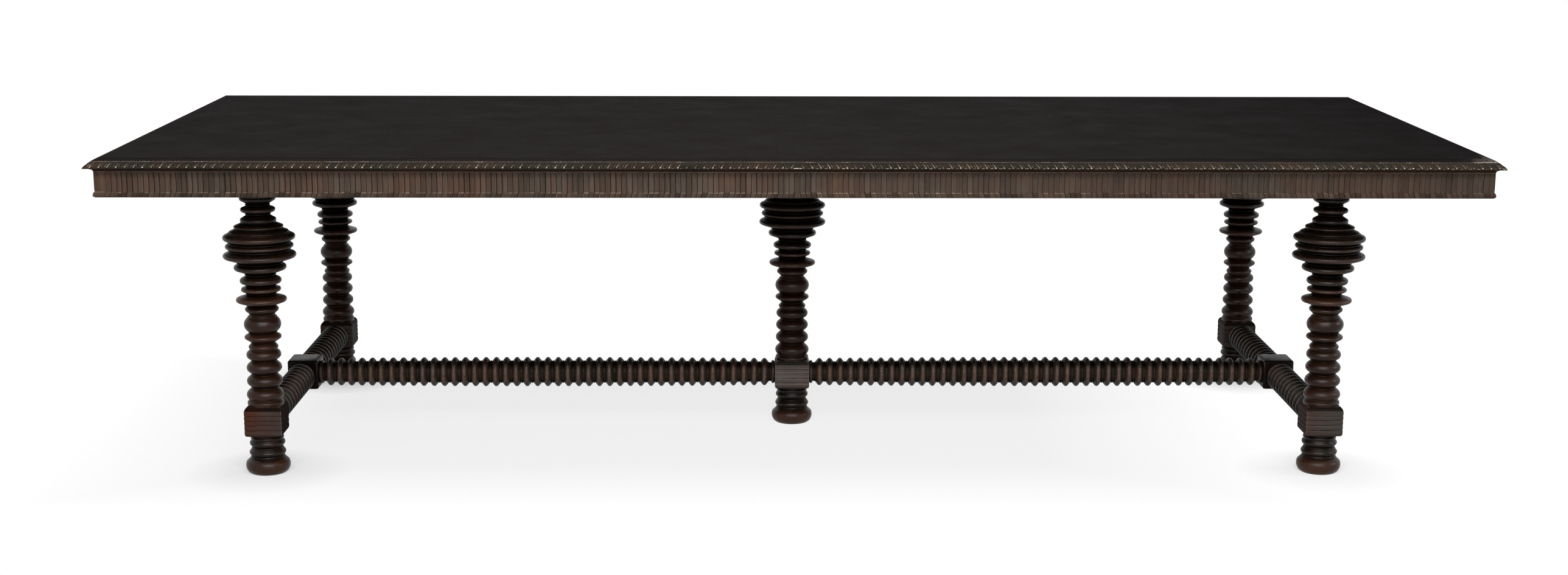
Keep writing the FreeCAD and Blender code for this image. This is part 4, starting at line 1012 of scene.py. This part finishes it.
def end_stretchers():
    """The two ring-turned bars across the table, each with its plain middle block. They are worn on the
    inner upper side, where feet rest, and the band there is painted highlight as well, with painted shade
    elsewhere."""
    half_x, half_y, half_z = (reach / 2 for reach in MID_BLOCK)
    outline = sampled(ring_forms(half_y, LEG_Y - BLOCK_WIDTH / 2 - half_y, END_RINGS, 0), 4)
    for hand, side in ((-1, "left"), (1, "right")):
        name = f"{side}_end_stretcher"
        shapes = []

        def inner_upper(x, y, z):
            inward, up = LEG_X - hand * x, z - STRETCHER_Z
            return (inward + up) / math.hypot(inward, up) / math.sqrt(2)

        for way in (-1, 1):
            shape = lathe(outline, END_RELIEF, BAR_SEGMENTS,
                          lambda along, right, up: (hand * LEG_X + right, way * along, STRETCHER_Z + up))
            shapes.append(painted_highlight_band(shape, inner_upper))
        spots, faces, marks, _ = block((hand * LEG_X, 0), half_x, half_y, STRETCHER_Z - half_z,
                                       STRETCHER_Z + half_z, 0, MID_SHOULDERS, MID_CORNER)
        shapes.append((spots, faces, marks, [MID_BLOCK_TONE] * len(spots)))
        points, faces, marks, tone, _ = joined(shapes, (0, 0, 0))
        make(f"turned_{name}", points, faces, [END_WOOD], [name], marks, tone)


# The top

def panels():
    """The two halves of the top, with eased edges so that the seam shows as a fine line."""
    for half, low_x, high_x in (("left", PANEL_LOW.x, SEAM_X), ("right", SEAM_X, PANEL_HIGH.x)):
        shape = bmesh.new()
        low = Vector((low_x, PANEL_LOW.y, UNDERSIDE))
        high = Vector((high_x, PANEL_HIGH.y, HEIGHT))
        place = Matrix.Translation((low + high) / 2) @ Matrix.Diagonal((*(high - low), 1))
        bmesh.ops.create_cube(shape, size=1, matrix=place)
        upper = [edge for edge in shape.edges if all(abs(vert.co.z - HEIGHT) < MM / 2 for vert in edge.verts)]
        bmesh.ops.bevel(shape, geom=upper, offset=PANEL_EASE, segments=3, affect="EDGES")
        points = [tuple(vert.co) for vert in shape.verts]
        faces = [tuple(vert.index for vert in face.verts) for face in shape.faces]
        shape.free()
        tone = top_tone(np.array(points)[:, 0])
        make(f"{half}_top_panel", points, faces, [TOP_WOOD], [f"top_panel_{half}"], tone=tone)


TOP_WOOD = wood("top_satin_black", "X", (
    (0.015, 0.0122, 0.0122), (0.0165, 0.0136, 0.0134), (0.018, 0.015, 0.0147), (0.12, 0.11, 0.1),
    (0.0172, 0.0136, 0.013)), 0.55, 0.0015, 0.9, 0.03)
EDGE_WOOD, FRIEZE_WOOD = {}, {}
for side, axis in (("front", "X"), ("back", "X"), ("left", "Y"), ("right", "Y")):
    EDGE_WOOD[side] = wood(f"lip_dark_{side}", axis, (
        (0.0115, 0.0092, 0.0068), (0.0185, 0.0154, 0.0118), (0.03, 0.025, 0.02), (0.68, 0.58, 0.45),
        (0.046, 0.025, 0.015)), 0.45, 0.06, 0.9, 0.2)
    FRIEZE_WOOD[side] = wood(f"frieze_brown_{side}", "Z", (
        (0.04, 0.029, 0.022), (0.053, 0.04, 0.031), (0.066, 0.052, 0.042), (0.26, 0.18, 0.13),
        (0.074, 0.038, 0.025)), 0.62, 0.05, 0.8, 0.2)
LEG_WOOD = wood("leg_black_brown", "Z", (
    (0.0026, 0.0014, 0.0008), (0.0058, 0.0031, 0.0017), (0.013, 0.0064, 0.0036), (0.115, 0.06, 0.043),
    (0.029, 0.01, 0.0045)), 0.34, 0.17, 0.5, 0.1)
BLOCK_WOOD = wood("block_grey_brown", "X", (
    (0.032, 0.025, 0.021), (0.058, 0.049, 0.044), (0.09, 0.079, 0.073), (0.15, 0.125, 0.11),
    (0.078, 0.029, 0.019)), 0.55, 0.05, 0.6, 0.25)
# The long and end bars' worn colours stand for wear and, in their lit band, for painted highlight
LONG_WOOD = wood("long_bar_black_brown", "X", (
    (0.009, 0.0066, 0.0048), (0.0165, 0.0122, 0.0088), (0.026, 0.018, 0.013), (0.165, 0.103, 0.078),
    (0.03, 0.015, 0.01)), 0.38, 0.13, 0.65, 0.1)
END_WOOD = wood("end_bar_black_brown", "Y", (
    (0.002, 0.0013, 0.0008), (0.0045, 0.0029, 0.0018), (0.009, 0.0058, 0.0038), (0.34, 0.255, 0.215),
    (0.012, 0.005, 0.003)), 0.36, 0.13, 0.25, 0.1)
INNER_WOOD, INNER_WOOD_Y = (wood(name, axis, (
    (0.1, 0.06, 0.034), (0.17, 0.105, 0.06), (0.24, 0.155, 0.092), (0.3, 0.2, 0.12),
    (0.13, 0.075, 0.042)), 0.75, 0.2, 0.0, 0.4)
    for name, axis in (("plain_inner_wood", "X"), ("plain_inner_wood_across", "Y")))
ZINC = steel()

panels()
for side in LIP_SIDES:
    cuts = strip_cuts(FRIEZE_SIDES[side][2])
    traits = dict(zip(TRAITS, rng.random((len(cuts), len(TRAITS))).T))
    lip(side)
    frieze(side, cuts, traits)
    bead(side, cuts, traits)
for name, place_and_looks in LEGS.items():
    leg(name, *place_and_looks)
long_stretchers()
end_stretchers()


def dress_frame():
    """Materials of the solids that stay as they are."""
    across = ("bearer", "left_glue", "right_glue", "left_edge", "right_edge")
    steels = ("top_screws", "leg_bolts", "leg_bolt_washers")
    for name, node in frame["nodes"].items():
        material = INNER_WOOD
        if name in steels:
            material = ZINC
        elif "pegs" in name:
            material = LEG_WOOD
        elif any(part in name for part in across):
            material = INNER_WOOD_Y
        for holder in node.material_slots:
            holder.material = material


dress_frame()


# Stage, light and camera

FLOOR_REACH = 30
# How much the floor glows under the table, a painted shadow, and near the corner feet
FLOOR_PAINTED_SHADOW = 0.90
FOOT_SHADE = 0.60
WORLD_LEVEL = 0.16


def stage():
    """A floor seen as a light grey under the table, which is a painted shadow in its own glow, and white
    further off. Near the corner feet it gives off less of its own, which darkens it there as painted
    shadow and lets their rendered soft shadows show."""
    mesh = bpy.data.meshes.new("floor")
    corners = [(FLOOR_REACH * x, FLOOR_REACH * y, 0) for x, y in ((-1, -1), (1, -1), (1, 1), (-1, 1))]
    mesh.from_pydata(corners, [], [(0, 1, 2, 3)])
    floor = placed("floor", mesh)
    material = bpy.data.materials.new("pale_floor")
    shader = Shader(material)
    shader.fill(shader.surface, {"Base Color": (0.80, 0.80, 0.80, 1), "Roughness": 0.9,
                                 "Specular IOR Level": 0.0})
    place = shader.add("ShaderNodeTexCoord").outputs["Object"]
    spread = shader.add("ShaderNodeSeparateXYZ", {"Vector": place}).outputs
    # Where the painted shadow under the table gives way to white
    far = shader.chain("MAXIMUM", shader.span(spread["X"], 0.6, 1.15),
                       shader.span(spread["X"], -1.15, -1.75),
                       shader.span(shader.chain("ABSOLUTE", spread["Y"], 0), 0.42, 0.76))
    pale = shader.span(far, 0, 1, FLOOR_PAINTED_SHADOW, 1.0)
    # Near the corner feet the glow falls off: painted shadow, with the rendered shadows showing through
    corner = shader.add("ShaderNodeVectorMath", {0: place}, operation="ABSOLUTE").outputs["Vector"]
    off = shader.add("ShaderNodeVectorMath", {0: corner, 1: (LEG_X, LEG_Y, 0)}, operation="DISTANCE")
    near = shader.span(off.outputs["Value"], 0.06, 0.20, FOOT_SHADE, 1.0)
    blend = shader.add("ShaderNodeMixShader", {
        "Fac": shader.chain("MULTIPLY", pale, near, shader.directly_seen()),
        1: shader.surface.outputs["BSDF"],
        2: shader.add("ShaderNodeEmission", {"Strength": pale}).outputs["Emission"],
    })
    shader.fill(shader.tree.nodes["Material Output"], {"Surface": blend.outputs["Shader"]})
    mesh.materials.append(material)


def world():
    """Soft light all round, with white behind the object."""
    made = bpy.data.worlds.new("studio")
    bpy.context.scene.world = made
    shader = Shader(made, "Background")
    level = shader.span(shader.directly_seen(), 0, 1, WORLD_LEVEL, 1.0)
    shader.fill(shader.surface, {"Color": (1, 1, 1, 1), "Strength": level})


def lamp(name, place, target, size, power):
    """A large soft lamp aimed at a point."""
    light = bpy.data.lights.new(name, "AREA")
    light.shape = "RECTANGLE"
    light.size, light.size_y = size
    light.energy = power
    made = placed(name, light)
    made.location = place
    made.rotation_euler = (Vector(target) - Vector(place)).to_track_quat("-Z", "Y").to_euler()


def camera():
    """The photograph's view, solved from the top's corners, the legs and the feet."""
    place = Vector((-0.0965, -5.6077, 1.4554))
    yaw, pitch, roll = (math.radians(angle) for angle in (0.776, 11.186, 0.171))
    focal_pixels, image_width = 3712.5, 2576
    lens = bpy.data.cameras.new("view")
    lens.sensor_fit = "HORIZONTAL"
    lens.sensor_width = 36
    lens.lens = lens.sensor_width * focal_pixels / image_width
    made = placed("view", lens)
    turn = Matrix.Rotation(-yaw, 4, "Z") @ Matrix.Rotation(math.pi / 2 - pitch, 4, "X")
    made.matrix_world = Matrix.Translation(place) @ turn @ Matrix.Rotation(roll, 4, "Z")
    bpy.context.scene.camera = made


stage()
world()
lamp("key", (0, -4.0, 3.6), (0, 0, 0.3), (4.6, 1.0), 230)
lamp("front", (0, -5.4, 1.9), (0, 0, 0.5), (4.4, 1.0), 130)
lamp("side", (4.4, -0.9, 1.6), (0, 0, 0.2), (1.0, 0.8), 30)
camera()
bpy.context.scene.view_settings.view_transform = "Standard"
